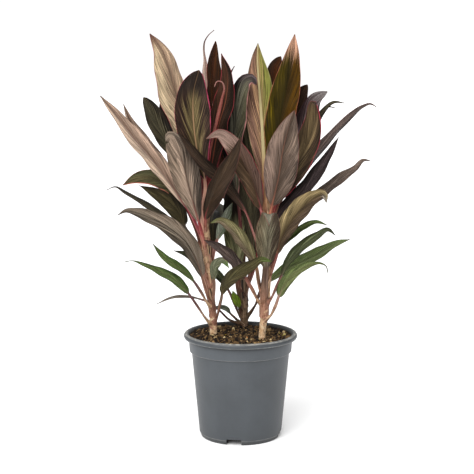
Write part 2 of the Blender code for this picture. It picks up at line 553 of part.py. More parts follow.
def make_stem(name, cane, leaves, mat):
    """A cane with its leaves fused to it in one body."""
    stem = make_cane(name, cane, mat)
    blades = bpy.data.collections.new("blades")
    bpy.context.scene.collection.children.link(blades)
    for leaf in leaves:
        blade = make_leaf(leaf, cane, mat)
        bpy.context.scene.collection.objects.unlink(blade)
        blades.objects.link(blade)
    boolean(stem, "UNION", collection=blades)
    for blade in list(blades.objects):
        bpy.data.objects.remove(blade, do_unlink=True)
    bpy.data.collections.remove(blades)
    return stem


def main():
    clear_scene()
    make_pot(material("pot_plastic", (0.13, 0.14, 0.15), 0.45))
    make_soil(material("potting_soil", (0.035, 0.022, 0.012), 0.95))
    foliage = material("foliage", (0.11, 0.07, 0.05), 0.4)
    make_stem("leafy_stem_left", CANES["left"], LEFT_LEAVES, foliage)
    make_stem("leafy_stem_right", CANES["right"], RIGHT_LEAVES, foliage)
    make_stem("leafy_stem_back", CANES["back"], BACK_LEAVES, foliage)


if __name__ == "__main__":
    main()
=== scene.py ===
"""A ti plant in a nursery pot: three leafy canes, the soil and the pot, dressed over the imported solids.

The tables of canes and leaves are in millimetres, as in the solids' own source. Everything else is in metres.
"""

import math
from collections import namedtuple
from functools import partial

import bpy
import numpy as np
from bpy.props import FloatProperty, FloatVectorProperty, IntProperty, PointerProperty
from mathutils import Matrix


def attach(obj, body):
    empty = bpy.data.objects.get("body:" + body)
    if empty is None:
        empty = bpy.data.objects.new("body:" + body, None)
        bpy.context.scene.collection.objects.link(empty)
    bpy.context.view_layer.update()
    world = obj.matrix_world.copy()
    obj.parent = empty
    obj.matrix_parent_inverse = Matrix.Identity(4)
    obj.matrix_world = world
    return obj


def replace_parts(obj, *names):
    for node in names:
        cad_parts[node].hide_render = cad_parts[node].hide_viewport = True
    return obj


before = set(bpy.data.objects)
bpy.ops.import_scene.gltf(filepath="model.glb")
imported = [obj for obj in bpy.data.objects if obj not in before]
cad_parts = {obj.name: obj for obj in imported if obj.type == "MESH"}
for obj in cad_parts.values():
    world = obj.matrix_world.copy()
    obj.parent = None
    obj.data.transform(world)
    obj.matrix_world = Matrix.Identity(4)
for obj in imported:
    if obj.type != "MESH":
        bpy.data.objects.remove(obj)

bl_info = {
    "name": "Potted ti plant",
    "version": (1, 0, 0),
    "blender": (4, 5, 0),
    "location": "3D View > Sidebar > Ti plant",
    "description": "Dresses the packed ti plant: leaves, canes, soil, pot and studio",
    "category": "Object",
}

MM = 0.001
SHARP = math.radians(40)  # an edge that turns by more than this isn't smoothed
NOISE_CELLS = 64  # cells of value noise before it repeats

# Studio: how much darker than it is seen a surface is under its light, and how much more colour it has, since
# white reflections wash it out
STUDIO = 0.64
VIVID = 1.15
FLOOR_REACH = 30.0
KEY_TURN = (math.radians(54), 0, math.radians(-24))
CAMERA_PLACE = (-0.0053, -1.7228, 0.53495)
SENSOR_WIDTH = 36.0  # mm

# Pot: the shell's radii and heights, and the corners that its profile turns at
RIM_RADIUS = 85.0 * MM
RIM_HEIGHT = 157.0 * MM
ROLL_RADIUS = 4.4 * MM
ROLL_ARC = (-50, 115)  # degrees, from straight out
ROLL_STEPS = 26
ROLL_FOOT = 8.0 * MM  # below the rim, as are the groove's top and the lip's foot
GROOVE_TOP = 3.4 * MM
GROOVE_DRAFT = 0.3 * MM
LIP = 4.0 * MM
LIP_FOOT = 4.0 * MM
COLLAR_TOP_RADIUS = 77.9 * MM
COLLAR_FOOT_RADIUS = 76.4 * MM
COLLAR_FOOT_HEIGHT = 129.9 * MM
STEP = 3.0 * MM
STEP_HEIGHT = 1.0 * MM
INNER_STEP = (2.0 * MM, 1.0 * MM)  # below and above the collar's foot
WALL = 1.8 * MM
WALL_FOOT_RADIUS = 61.9 * MM
WALL_FOOT_HEIGHT = 6.4 * MM
WALL_SLOPE = (COLLAR_FOOT_RADIUS - STEP - WALL_FOOT_RADIUS) / (
    COLLAR_FOOT_HEIGHT - STEP_HEIGHT - WALL_FOOT_HEIGHT
)
BASE_RADIUS = 59.2 * MM
FOOT_CHAMFER_RADIUS = 60.6 * MM
FOOT_CHAMFER_HEIGHT = 5.0 * MM
FOOT_WIDTH = 3.2 * MM
FOOT_DRAFT = 1.5 * MM
FLOOR_TOP = 6.6 * MM
FLOOR_UNDERSIDE = 5.0 * MM
FLOOR_EDGE = (1.4 * MM, 1.6 * MM)
PAD_RADIUS = 14.0 * MM
NOTCHES = 4
FIRST_NOTCH = math.radians(-99.6)  # a little left of the front
NOTCH_WIDTH = 22.0 * MM
NOTCH_HEIGHT = 9.0 * MM
NOTCH_REACH = 9.0 * MM  # how far a notch cuts in from the base's edge
NOTCH_ROUND = 1.5 * MM
NOTCH_STEPS = 6
CUTTER_EXCESS = 4.0 * MM
POT_SIDES = 176
POT_SHARP = math.radians(35)
EDGE_ROUND = 0.5 * MM
EDGE_STEPS = 4

# Soil. Each wave is how fast it runs along X and along Y, in radians a metre, and its phase. The rise is
# where the top starts to climb to the pot's wall, where it stops and by how much. The relief is each noise's
# cell and height.
SOIL_TOP = 150.3 * MM
SOIL_BUMP = 1.6 * MM
SOIL_WAVES = [(210, 95, 0), (-160, 120, 1.3), (60, 300, 0.4)]
SOIL_RISE = (48 * MM, 74 * MM, 1.6 * MM)
SOIL_RELIEF = [(9.0 * MM, 1.5 * MM), (4.0 * MM, 1.0 * MM), (1.8 * MM, 0.5 * MM)]
SOIL_SEED = 40
SOIL_GAP = 0.3 * MM
SOIL_SIDES = 160
SOIL_RINGS = 60

# Litter on the soil. A pair is a least and a most. Sizes are half measures. A crumb's lift is a share of its
# size, and a chip's width and thickness are shares of its length. A power is what chance is raised to: with a
# high one, few crumbs are large, and few crumbs and chips are pale.
LITTER_SEED = 5
LUMP_RINGS = 3
LUMP_SIDES = 6
LUMP_UNEVENNESS = (0.7, 1.25)
LUMP_TILT = 0.35  # radians, the spread of a normal law
CRUMB_REACH = 72 * MM
CRUMB_SIZES = (0.7 * MM, 2.9 * MM)
CRUMB_SIZE_POWER = 2.5
CRUMB_STRETCH = (0.7, 1.3)
CRUMB_LIFT = 0.35
CRUMB_SHADE_POWER = 2.6
CHIP_REACH = 70 * MM
CHIP_LENGTHS = (2 * MM, 5 * MM)
CHIP_WIDTHS = (0.18, 0.42)
CHIP_THICKNESS = 0.22
CHIP_LIFT = 0.8 * MM
CHIP_SHADES = (0.1, 0.85)
CHIP_SHADE_POWER = 2.5
LITTER_RAMP = [(22, 16, 11), (54, 40, 28), (92, 70, 48), (130, 104, 72), (170, 142, 104), (216, 194, 152)]
NOTED_CHIPS = [  # the ones that catch the eye: x, y and half length in mm, and colour
    (-22, 5, 4.2, (206, 176, 96)), (10, -9, 4.6, (206, 142, 92)), (65, -3, 4.0, (178, 170, 92)),
    (60, 10, 3.4, (172, 160, 84)), (-52, -12, 3.2, (150, 110, 66)), (44, -44, 3.4, (160, 118, 70)),
    (-12, -36, 3.0, (146, 120, 76)), (-34, 38, 3.2, (140, 112, 70)), (24, 34, 3.0, (150, 116, 74)),
]

# Canes, in mm: places along each axis, from the rooted end to the crown, (height, radius) pairs, and how
# much painted shade darkens the bark and its leaves' sheaths, as a factor. Leaf scars ring the bare foot.
# Above it the stalks that hug the cane show as strands.
CANE_SIDES = 60
CANE_ROWS = 170
CANE_NOISE = (24, 3.5, 0.22)  # how long a turn round the cane counts, the noise's cell, and its height
SCARS = 60
SCAR_DISTANCE = 7.5
SCAR_SPREAD = (0.6, 1.4)  # least and most of that distance, as factors
SCAR_WAVER = (0.9, 6)  # its height, and the most that its phase can be
SCAR_SWELL = (0.35, 0.15)  # how far the bark swells towards a scar, and how much thinner it starts
SCAR_FADE = 0.85  # how much of that the strands hide
STRANDS = 5
STRAND_DEPTH = 1.7
STRAND_TWIST = 0.011  # radians a mm
STRAND_SWAY = (0.35, 17)  # radians, and the height in which the sway's angle grows by one radian
BARE_TO = (172, 200)  # heights between which the bare foot gives way to them
CANES = {
    "left": dict(
        axis=[(-41, 17, 80), (-41, 17, 130), (-41, 17, 152), (-43, 17, 200), (-50, 15, 270), (-56, 12, 335)],
        radii=[(80, 5.6), (165, 5.6), (205, 5.5), (255, 5.6), (300, 7.0), (335, 5.0)],
        shade=1.0,
    ),
    "right": dict(
        axis=[(32, -14, 80), (32, -14, 130), (32, -14, 152), (36, -15, 200), (40, -17, 275), (43, -18, 335)],
        radii=[(80, 5.1), (165, 5.1), (205, 6.4), (300, 7.2), (335, 5.0)],
        shade=1.0,
    ),
    "back": dict(
        axis=[(7, 60, 80), (7, 60, 130), (7, 60, 152), (5, 61, 200), (2, 62, 255)],
        radii=[(80, 4.6), (160, 4.6), (195, 7.0), (255, 6.0)],
        shade=0.3,
    ),
}

# Colours of bark, stalks, pot and soil as seen, red, green and blue to 255
PALETTE = {
    "bark_pale": (250, 224, 190), "bark_tan": (214, 176, 138), "bark_blotch": (134, 96, 66),
    "bark_scar": (92, 60, 40), "strand_brown": (104, 76, 64), "strand_tan": (206, 172, 138),
    # The last colour on the next line is painted shade in the gaps between the cane's strands
    "strand_red": (176, 116, 104), "strand_fibre": (240, 212, 180), "strand_gap": (34, 22, 18),
    "sheath_pale": (226, 190, 156), "sheath_brown": (176, 130, 112), "sheath_blotch": (124, 84, 64),
    "stalk_fibre": (240, 204, 182), "leaf_end": (84, 58, 38), "plastic": (76, 80, 84),
    # Of the pot's colours on the next two lines, the rim's crease colour and the line colour are painted
    # highlights, the rim's edge colour is wear and a painted highlight, the inside colour is painted shade,
    # and the dust colour is dust and painted shade
    "rim_crease": (150, 152, 150), "rim_worn": (178, 176, 170), "pot_inside": (40, 38, 34),
    "pot_line": (156, 156, 152), "pot_dust": (58, 55, 50), "peat": (28, 20, 13), "peat_brown": (120, 94, 64),
    "peat_fibre": (166, 132, 90),
}

# Looks of the leaves, as such colours too: the seen side left and right of the midrib, the streaks that run
# out from it, the midrib, the margin, the stalk, and the side that isn't seen. marks is the strength of the
# midrib's colour and of the streaks, and the margin's width as a factor, left and right. tip is the colour of
# the blade's end and the share of the blade where it starts.
LOOK_FIELDS = "left right streak rib margin stalk behind marks tip"
Look = namedtuple("Look", LOOK_FIELDS, defaults=((0.2, 0.6, 0.2, 0.2), (92, 62, 40, 0.96)))
TONES = [field for field in Look._fields if field != "marks"]
LOOKS = {
    "tan_pink": Look((240, 216, 182), (216, 188, 160), (138, 108, 92), (206, 170, 144), (190, 96, 106),
        (150, 90, 88), (66, 46, 38), (0.1, 0.9, 0.9, 0.2), (124, 86, 76, 0.86)),
    "dark_striped": Look((56, 40, 33), (68, 53, 45), (138, 124, 88), (196, 158, 124), (196, 84, 112),
        (252, 196, 174), (122, 102, 90), (0.7, 0.75, 0.4, 1.8), (48, 39, 34, 0.72)),
    "wine": Look((50, 28, 8), (66, 38, 16), (98, 54, 32), (120, 70, 56), (150, 60, 60),
        (150, 60, 64), (112, 88, 80)),
    "wine_dark": Look((50, 35, 25), (60, 43, 33), (88, 66, 52), (110, 66, 58), (130, 76, 72),
        (120, 68, 66), (96, 78, 70)),
    "wine_salmon": Look((72, 48, 36), (34, 20, 10), (84, 60, 48), (206, 126, 100), (196, 84, 92),
        (186, 76, 82), (96, 78, 70), (0.5, 0.7, 0.9, 0.2)),
    "pale_pink": Look((222, 194, 180), (214, 176, 164), (170, 138, 124), (206, 166, 156), (150, 110, 104),
        (160, 84, 84), (210, 178, 166), (0.1, 0.5, 0.0, 0.0), (92, 72, 66, 0.77)),
    "pale_fold": Look((122, 124, 102), (98, 102, 78), (146, 150, 124), (90, 88, 68), (70, 66, 50),
        (124, 96, 82), (116, 118, 94), (0.3, 0.8, 0.3, 0.3), (124, 150, 92, 0.76)),
    "pale_arch": Look((178, 166, 152), (146, 134, 122), (204, 192, 178), (120, 104, 90), (110, 94, 84),
        (130, 92, 88), (118, 106, 96), (0.2, 0.6, 0.0, 0.0), (90, 84, 78, 0.9)),
    "new_pink": Look((200, 124, 114), (172, 92, 86), (214, 158, 142), (206, 136, 120), (200, 120, 116),
        (176, 82, 82), (190, 116, 108), (0.4, 0.7, 0.0, 0.0), (206, 170, 158, 0.72)),
    "dark_front": Look((50, 38, 28), (66, 52, 42), (92, 74, 58), (90, 64, 54), (140, 88, 84),
        (168, 76, 80), (134, 112, 100), (0.1, 0.8, 0.2, 0.3)),
    "mauve_tan": Look((230, 204, 182), (202, 174, 154), (112, 88, 76), (190, 144, 130), (110, 78, 70),
        (164, 84, 90), (72, 56, 46), (0.2, 1.0, 0.3, 0.3), (124, 102, 84, 0.92)),
    "grey_mauve": Look((136, 119, 104), (84, 74, 66), (184, 162, 144), (80, 50, 42), (72, 50, 44),
        (166, 84, 84), (170, 150, 132), (0.6, 1.0, 0.5, 0.5), (176, 158, 140, 0.86)),
    "black_green": Look((80, 74, 58), (50, 43, 35), (112, 106, 84), (70, 56, 46), (80, 50, 46),
        (110, 68, 64), (84, 76, 66), (0.1, 0.9, 0.1, 0.1)),
    "olive_red": Look((94, 90, 64), (98, 96, 70), (118, 106, 78), (100, 80, 60), (222, 136, 120),
        (120, 78, 70), (84, 78, 62), (0.1, 0.8, 2.4, 0.3), (104, 88, 66, 0.88)),
    "olive_dark": Look((74, 67, 47), (50, 44, 32), (96, 88, 62), (40, 34, 24), (30, 26, 18),
        (88, 74, 64), (96, 90, 76), (0.5, 0.8, 0.3, 1.0)),
    "grey_brown": Look((108, 98, 86), (146, 131, 116), (160, 148, 132), (52, 42, 36), (62, 50, 42),
        (172, 130, 112), (62, 54, 43), (0.8, 0.8, 0.4, 0.4), (88, 78, 64, 0.9)),
    "green": Look((110, 130, 78), (86, 106, 58), (140, 154, 104), (112, 112, 72), (44, 50, 28),
        (118, 88, 90), (116, 128, 96), (0.35, 0.8, 0.6, 0.6), (60, 56, 42, 0.93)),
    "olive_green": Look((70, 64, 44), (80, 72, 50), (104, 98, 68), (60, 52, 36), (56, 46, 34),
        (116, 92, 78), (110, 108, 88), (0.3, 0.8, 0.2, 0.2), (122, 144, 84, 0.84)),
    "grey_green": Look((160, 166, 148), (112, 120, 100), (180, 186, 168), (110, 106, 90), (76, 70, 56),
        (150, 108, 100), (116, 120, 102)),
    "cream_striped": Look((148, 114, 98), (148, 148, 84), (196, 160, 124), (224, 208, 162), (206, 194, 146),
        (216, 168, 128), (110, 90, 60), (3.0, 0.8, 0.3, 1.8), (112, 78, 70, 0.9)),
    "golden": Look((68, 57, 8), (88, 61, 20), (42, 34, 14), (60, 46, 14), (206, 124, 104),
        (166, 116, 76), (90, 76, 40), (0.4, 1.0, 0.7, 0.4), (206, 162, 138, 0.8)),
    "mauve_grey": Look((148, 127, 115), (120, 104, 93), (80, 66, 56), (152, 102, 84), (150, 88, 92),
        (200, 132, 110), (54, 44, 38), (0.4, 1.0, 0.4, 0.3)),
    "olive_brown": Look((84, 69, 51), (66, 52, 40), (130, 112, 84), (80, 62, 44), (196, 78, 94),
        (170, 74, 80), (112, 96, 80), (0.2, 0.8, 0.2, 1.5), (84, 58, 60, 0.88)),
    # Its streaks and its tip are a painted sheen on the leaf's top fold
    "purple_dark": Look((60, 45, 46), (86, 72, 72), (130, 118, 116), (70, 46, 48), (120, 76, 80),
        (116, 68, 70), (96, 80, 80), (0.1, 0.9, 0.2, 0.2), (150, 142, 140, 0.84)),
    "fold_mauve": Look((92, 74, 58), (122, 97, 86), (84, 66, 50), (100, 66, 56), (180, 82, 90),
        (150, 72, 78), (140, 118, 106), (0.2, 0.8, 0.2, 1.2), (168, 142, 130, 0.62)),
    "dark_brown": Look((68, 52, 42), (52, 39, 31), (96, 80, 66), (80, 54, 48), (60, 44, 38),
        (138, 88, 84), (104, 88, 80), (0.2, 0.8, 0.3, 0.3)),
    "grey_olive": Look((144, 128, 107), (126, 120, 87), (166, 154, 122), (76, 62, 48), (96, 74, 62),
        (184, 144, 118), (120, 112, 92), (0.4, 0.8, 0.3, 0.3), (150, 164, 110, 0.88)),
    "dark_mauve": Look((106, 92, 86), (66, 54, 50), (134, 118, 110), (96, 60, 60), (140, 92, 90),
        (190, 132, 118), (56, 48, 44), (0.3, 0.8, 0.3, 0.3)),
    "tongue": Look((120, 108, 88), (86, 74, 62), (148, 142, 120), (62, 50, 42), (150, 90, 86),
        (120, 97, 84), (64, 56, 42), (0.3, 0.9, 0.6, 0.6), (160, 156, 138, 0.72)),
    "black_purple": Look((40, 32, 30), (52, 43, 42), (92, 80, 80), (56, 40, 40), (80, 58, 58),
        (110, 72, 68), (92, 80, 78), (0.1, 0.7, 0.1, 0.1)),
    "brown_grey": Look((124, 108, 98), (104, 89, 80), (162, 146, 134), (66, 48, 44), (110, 78, 74),
        (112, 78, 74), (74, 64, 54), (0.2, 0.9, 0.2, 0.2), (60, 48, 40, 0.92)),
    "khaki": Look((158, 140, 106), (96, 80, 66), (90, 76, 54), (84, 66, 46), (84, 64, 52),
        (134, 80, 76), (106, 98, 76), (0.3, 0.9, 0.3, 0.3), (200, 192, 178, 0.9)),
    "dark_green": Look((58, 64, 40), (80, 85, 60), (112, 118, 90), (52, 48, 34), (44, 42, 28),
        (112, 78, 76), (92, 92, 70), (0.3, 0.9, 0.5, 0.5), (50, 44, 36, 0.9)),
    "light_green": Look((104, 116, 74), (122, 130, 88), (146, 152, 110), (120, 118, 76), (66, 70, 44),
        (170, 134, 122), (120, 124, 94), (0.4, 0.8, 0.4, 0.4), (128, 118, 96, 0.86)),
    "dark_sheen": Look((14, 10, 6), (104, 100, 80), (184, 180, 158), (30, 24, 18), (226, 160, 156),
        (116, 68, 68), (96, 90, 74), (0.3, 0.6, 0.2, 2.6), (88, 78, 78, 0.84)),
    "forest": Look((102, 102, 70), (122, 120, 92), (138, 136, 106), (84, 76, 54), (62, 54, 38),
        (120, 84, 72), (92, 88, 68), (0.2, 0.8, 0.2, 0.2), (30, 22, 16, 0.5)),
    "bright_green": Look((152, 180, 78), (140, 166, 70), (170, 190, 104), (150, 160, 80), (104, 122, 48),
        (130, 128, 80), (126, 142, 76), (0.3, 0.5, 0.3, 0.3), (136, 152, 66, 0.96)),
    "mid_green": Look((126, 144, 92), (138, 152, 104), (156, 168, 122), (104, 104, 66), (70, 76, 46),
        (100, 72, 64), (106, 114, 86), (0.3, 0.8, 0.3, 0.3), (90, 84, 62, 0.93)),
}

# Leaves: the look, then the height where the stalk leaves the cane's axis and route its course from there to
# the tip, in mm. blade is the share of that course that is bare stalk, width the blade's widest measure, and
# widest where that is along the blade. The seen side looks along front, turned by roll degrees about the
# course, first at the stalk's end and then at the tip. A positive fold raises both edges towards that side.
# wave is how far the edges ripple, stalk a factor on the bare stalk's width, and taper how fine the tip is
# drawn.
FORWARD = (0, -1, 0)
UP_AND_FORWARD = (0, -1, 1)
DOWN_AND_FORWARD = (0, -1, -3)
LEAF_FIELDS = "look height route blade width roll fold wave widest stalk front taper"
Leaf = namedtuple("Leaf", LEAF_FIELDS, defaults=(14, 1.5, 0.45, 1.0, FORWARD, 1.0))
BackLeaf = partial(Leaf, front=UP_AND_FORWARD)

LEFT_LEAVES = [
    # tall and upright, in the middle
    Leaf("tan_pink", 300, [(-57, 14, 362), (-69, 18, 429), (-86, 21, 480), (-98, 22, 514), (-107, 21, 547),
        (-116, 19, 574), (-133, 16, 599)], 0.36, 52, (35, 35), fold=-14, widest=0.48),
    Leaf("dark_striped", 246, [(-53, 10, 295), (-57, 2, 334), (-52, -6, 379), (-55, -10, 401),
        (-62, -13, 423), (-66, -15, 448), (-69, -17, 486), (-68, -18, 515), (-60, -20, 546)], 0.46, 54,
        (0, -10), widest=0.6),
    Leaf("wine", 326, [(-52, 18, 369), (-46, 27, 414), (-41, 32, 473), (-40, 36, 524), (-41, 38, 561),
        (-37, 38, 589)], 0.3, 33, (40, 40), widest=0.55),
    Leaf("pale_pink", 320, [(-55, 20, 377), (-52, 32, 428), (-48, 42, 488), (-50, 42, 529), (-52, 40, 558),
        (-54, 38, 578), (-53, 36, 588), (-48, 35, 597), (-39, 34, 605)], 0.3, 30, (-40, -60), widest=0.42,
        taper=1.7),
    Leaf("wine_salmon", 312, [(-48, 8, 370), (-41, 4, 415), (-32, 2, 466), (-21, 2, 506), (-19, 2, 539),
        (-28, 2, 570)], 0.28, 42, (-40, -40)),
    Leaf("new_pink", 322, [(-50, 2, 377), (-44, -4, 429), (-33, -8, 481), (-27, -8, 506), (-24, -8, 521),
        (-27, -9, 529), (-34, -10, 530), (-38, -11, 522)], 0.5, 5.5, (30, 30), stalk=0.5, taper=1.3),
    Leaf("wine_dark", 306, [(-42, 14, 370), (-30, 16, 429), (-20, 16, 488), (-16, 16, 529), (-15, 16, 541),
        (-9, 16, 552)], 0.6, 9, (30, 30)),
    Leaf("dark_front", 292, [(-51, -2, 334), (-43, -19, 358), (-34, -37, 379), (-21, -50, 404),
        (-10, -62, 425), (0, -72, 452)], 0.18, 31, (-25, -30), fold=-14),
    # leaning out to the left
    Leaf("mauve_tan", 262, [(-60, 8, 303), (-75, 2, 337), (-93, -4, 366), (-122, -12, 409), (-154, -18, 448),
        (-180, -22, 482), (-202, -24, 509)], 0.3, 35, (-40, -35), fold=-10),
    Leaf("mauve_tan", 284, [(-61, 12, 307), (-84, 8, 360), (-121, 3, 414), (-150, 0, 454), (-163, -1, 475),
        (-171, -2, 497)], 0.4, 22, (-30, -30), fold=-10),
    Leaf("grey_mauve", 262, [(-59, -4, 314), (-67, -14, 344), (-76, -24, 379), (-85, -34, 417),
        (-93, -40, 438), (-101, -37, 450), (-108, -28, 444)], 0.3, 43, (0, 0), fold=-12, widest=0.56),
    Leaf("black_green", 318, [(-59, 22, 362), (-81, 26, 399), (-104, 32, 433), (-125, 38, 467),
        (-135, 41, 489), (-145, 42, 506)], 0.3, 34, (30, 30), widest=0.62),
    Leaf("wine_dark", 308, [(-59, 24, 369), (-74, 38, 406), (-91, 50, 443), (-106, 56, 475), (-119, 58, 503)],
        0.35, 36, (10, 10), widest=0.62),
    Leaf("olive_red", 262, [(-59, 16, 284), (-66, 18, 308), (-78, 20, 336), (-92, 20, 363), (-112, 16, 381),
        (-134, 12, 388), (-154, 6, 387), (-174, 0, 378)], 0.46, 30, (30, 30), stalk=1.3),
    Leaf("olive_dark", 250, [(-68, 14, 293), (-82, 14, 312), (-91, 13, 332), (-106, 10, 351), (-127, 4, 366),
        (-149, -4, 378)], 0.44, 27, (20, 20), widest=0.36),
    Leaf("black_green", 232, [(-55, 15, 252), (-62, 17, 276), (-74, 18, 296), (-95, 17, 314), (-143, 14, 348),
        (-172, 9, 366), (-186, 3, 375), (-198, -2, 371)], 0.4, 15, (40, 80), stalk=1.7),
    Leaf("grey_brown", 200, [(-55, 2, 233), (-60, -4, 252), (-69, -10, 275), (-81, -16, 296), (-95, -21, 310),
        (-110, -26, 322), (-129, -31, 332), (-150, -35, 341), (-166, -37, 344), (-178, -39, 338)], 0.24, 34,
        (45, 45), widest=0.42, stalk=1.6),
    Leaf("green", 194, [(-52, 6, 205), (-60, -2, 220), (-71, -10, 238), (-88, -18, 256), (-109, -24, 271),
        (-120, -27, 283), (-128, -30, 295)], 0.41, 16, (50, 50)),
    Leaf("green", 170, [(-53, 8, 178), (-64, 0, 196), (-80, -10, 221), (-97, -20, 240), (-118, -28, 253),
        (-142, -34, 265), (-158, -37, 271), (-168, -38, 270)], 0.39, 19, (50, 50), widest=0.38, stalk=0.8,
        taper=1.5),
    # short ones in front of the canes
    Leaf("olive_green", 172, [(-34, 6, 186), (-29, -4, 207), (-25, -19, 227), (-15, -34, 243), (-1, -44, 255),
        (16, -50, 265), (31, -54, 275), (45, -57, 273)], 0.36, 24, (-40, -40)),
    Leaf("pale_fold", 188, [(-41, 4, 205), (-39, -8, 230), (-39, -20, 252), (-35, -28, 265), (-26, -34, 270),
        (-17, -40, 261)], 0.54, 16, (-20, -40)),
    # behind
    Leaf("grey_green", 246, [(-43, 20, 260), (-39, 20, 280), (-34, 20, 297), (-28, 20, 313), (-21, 21, 330),
        (-12, 24, 350)], 0.52, 16, (0, 0)),
    BackLeaf("wine_dark", 300, [(-60, 40, 370), (-70, 76, 430), (-80, 110, 470), (-86, 140, 482)], 0.3, 40,
        (20, 20)),
    BackLeaf("black_green", 290, [(-56, 44, 360), (-54, 88, 425), (-50, 128, 452), (-48, 165, 446)], 0.3, 42,
        (0, 0)),
    BackLeaf("grey_mauve", 280, [(-62, 36, 335), (-76, 72, 372), (-90, 108, 385), (-100, 140, 375)], 0.34, 36,
        (20, 20)),
    BackLeaf("olive_dark", 252, [(-43, 40, 283), (-48, 80, 318), (-53, 120, 326), (-58, 156, 312)], 0.2, 34,
        (0, 10)),
    BackLeaf("wine", 296, [(-45, 36, 360), (-42, 66, 425), (-40, 90, 475), (-38, 106, 503)], 0.3, 40,
        (-10, -10)),
]

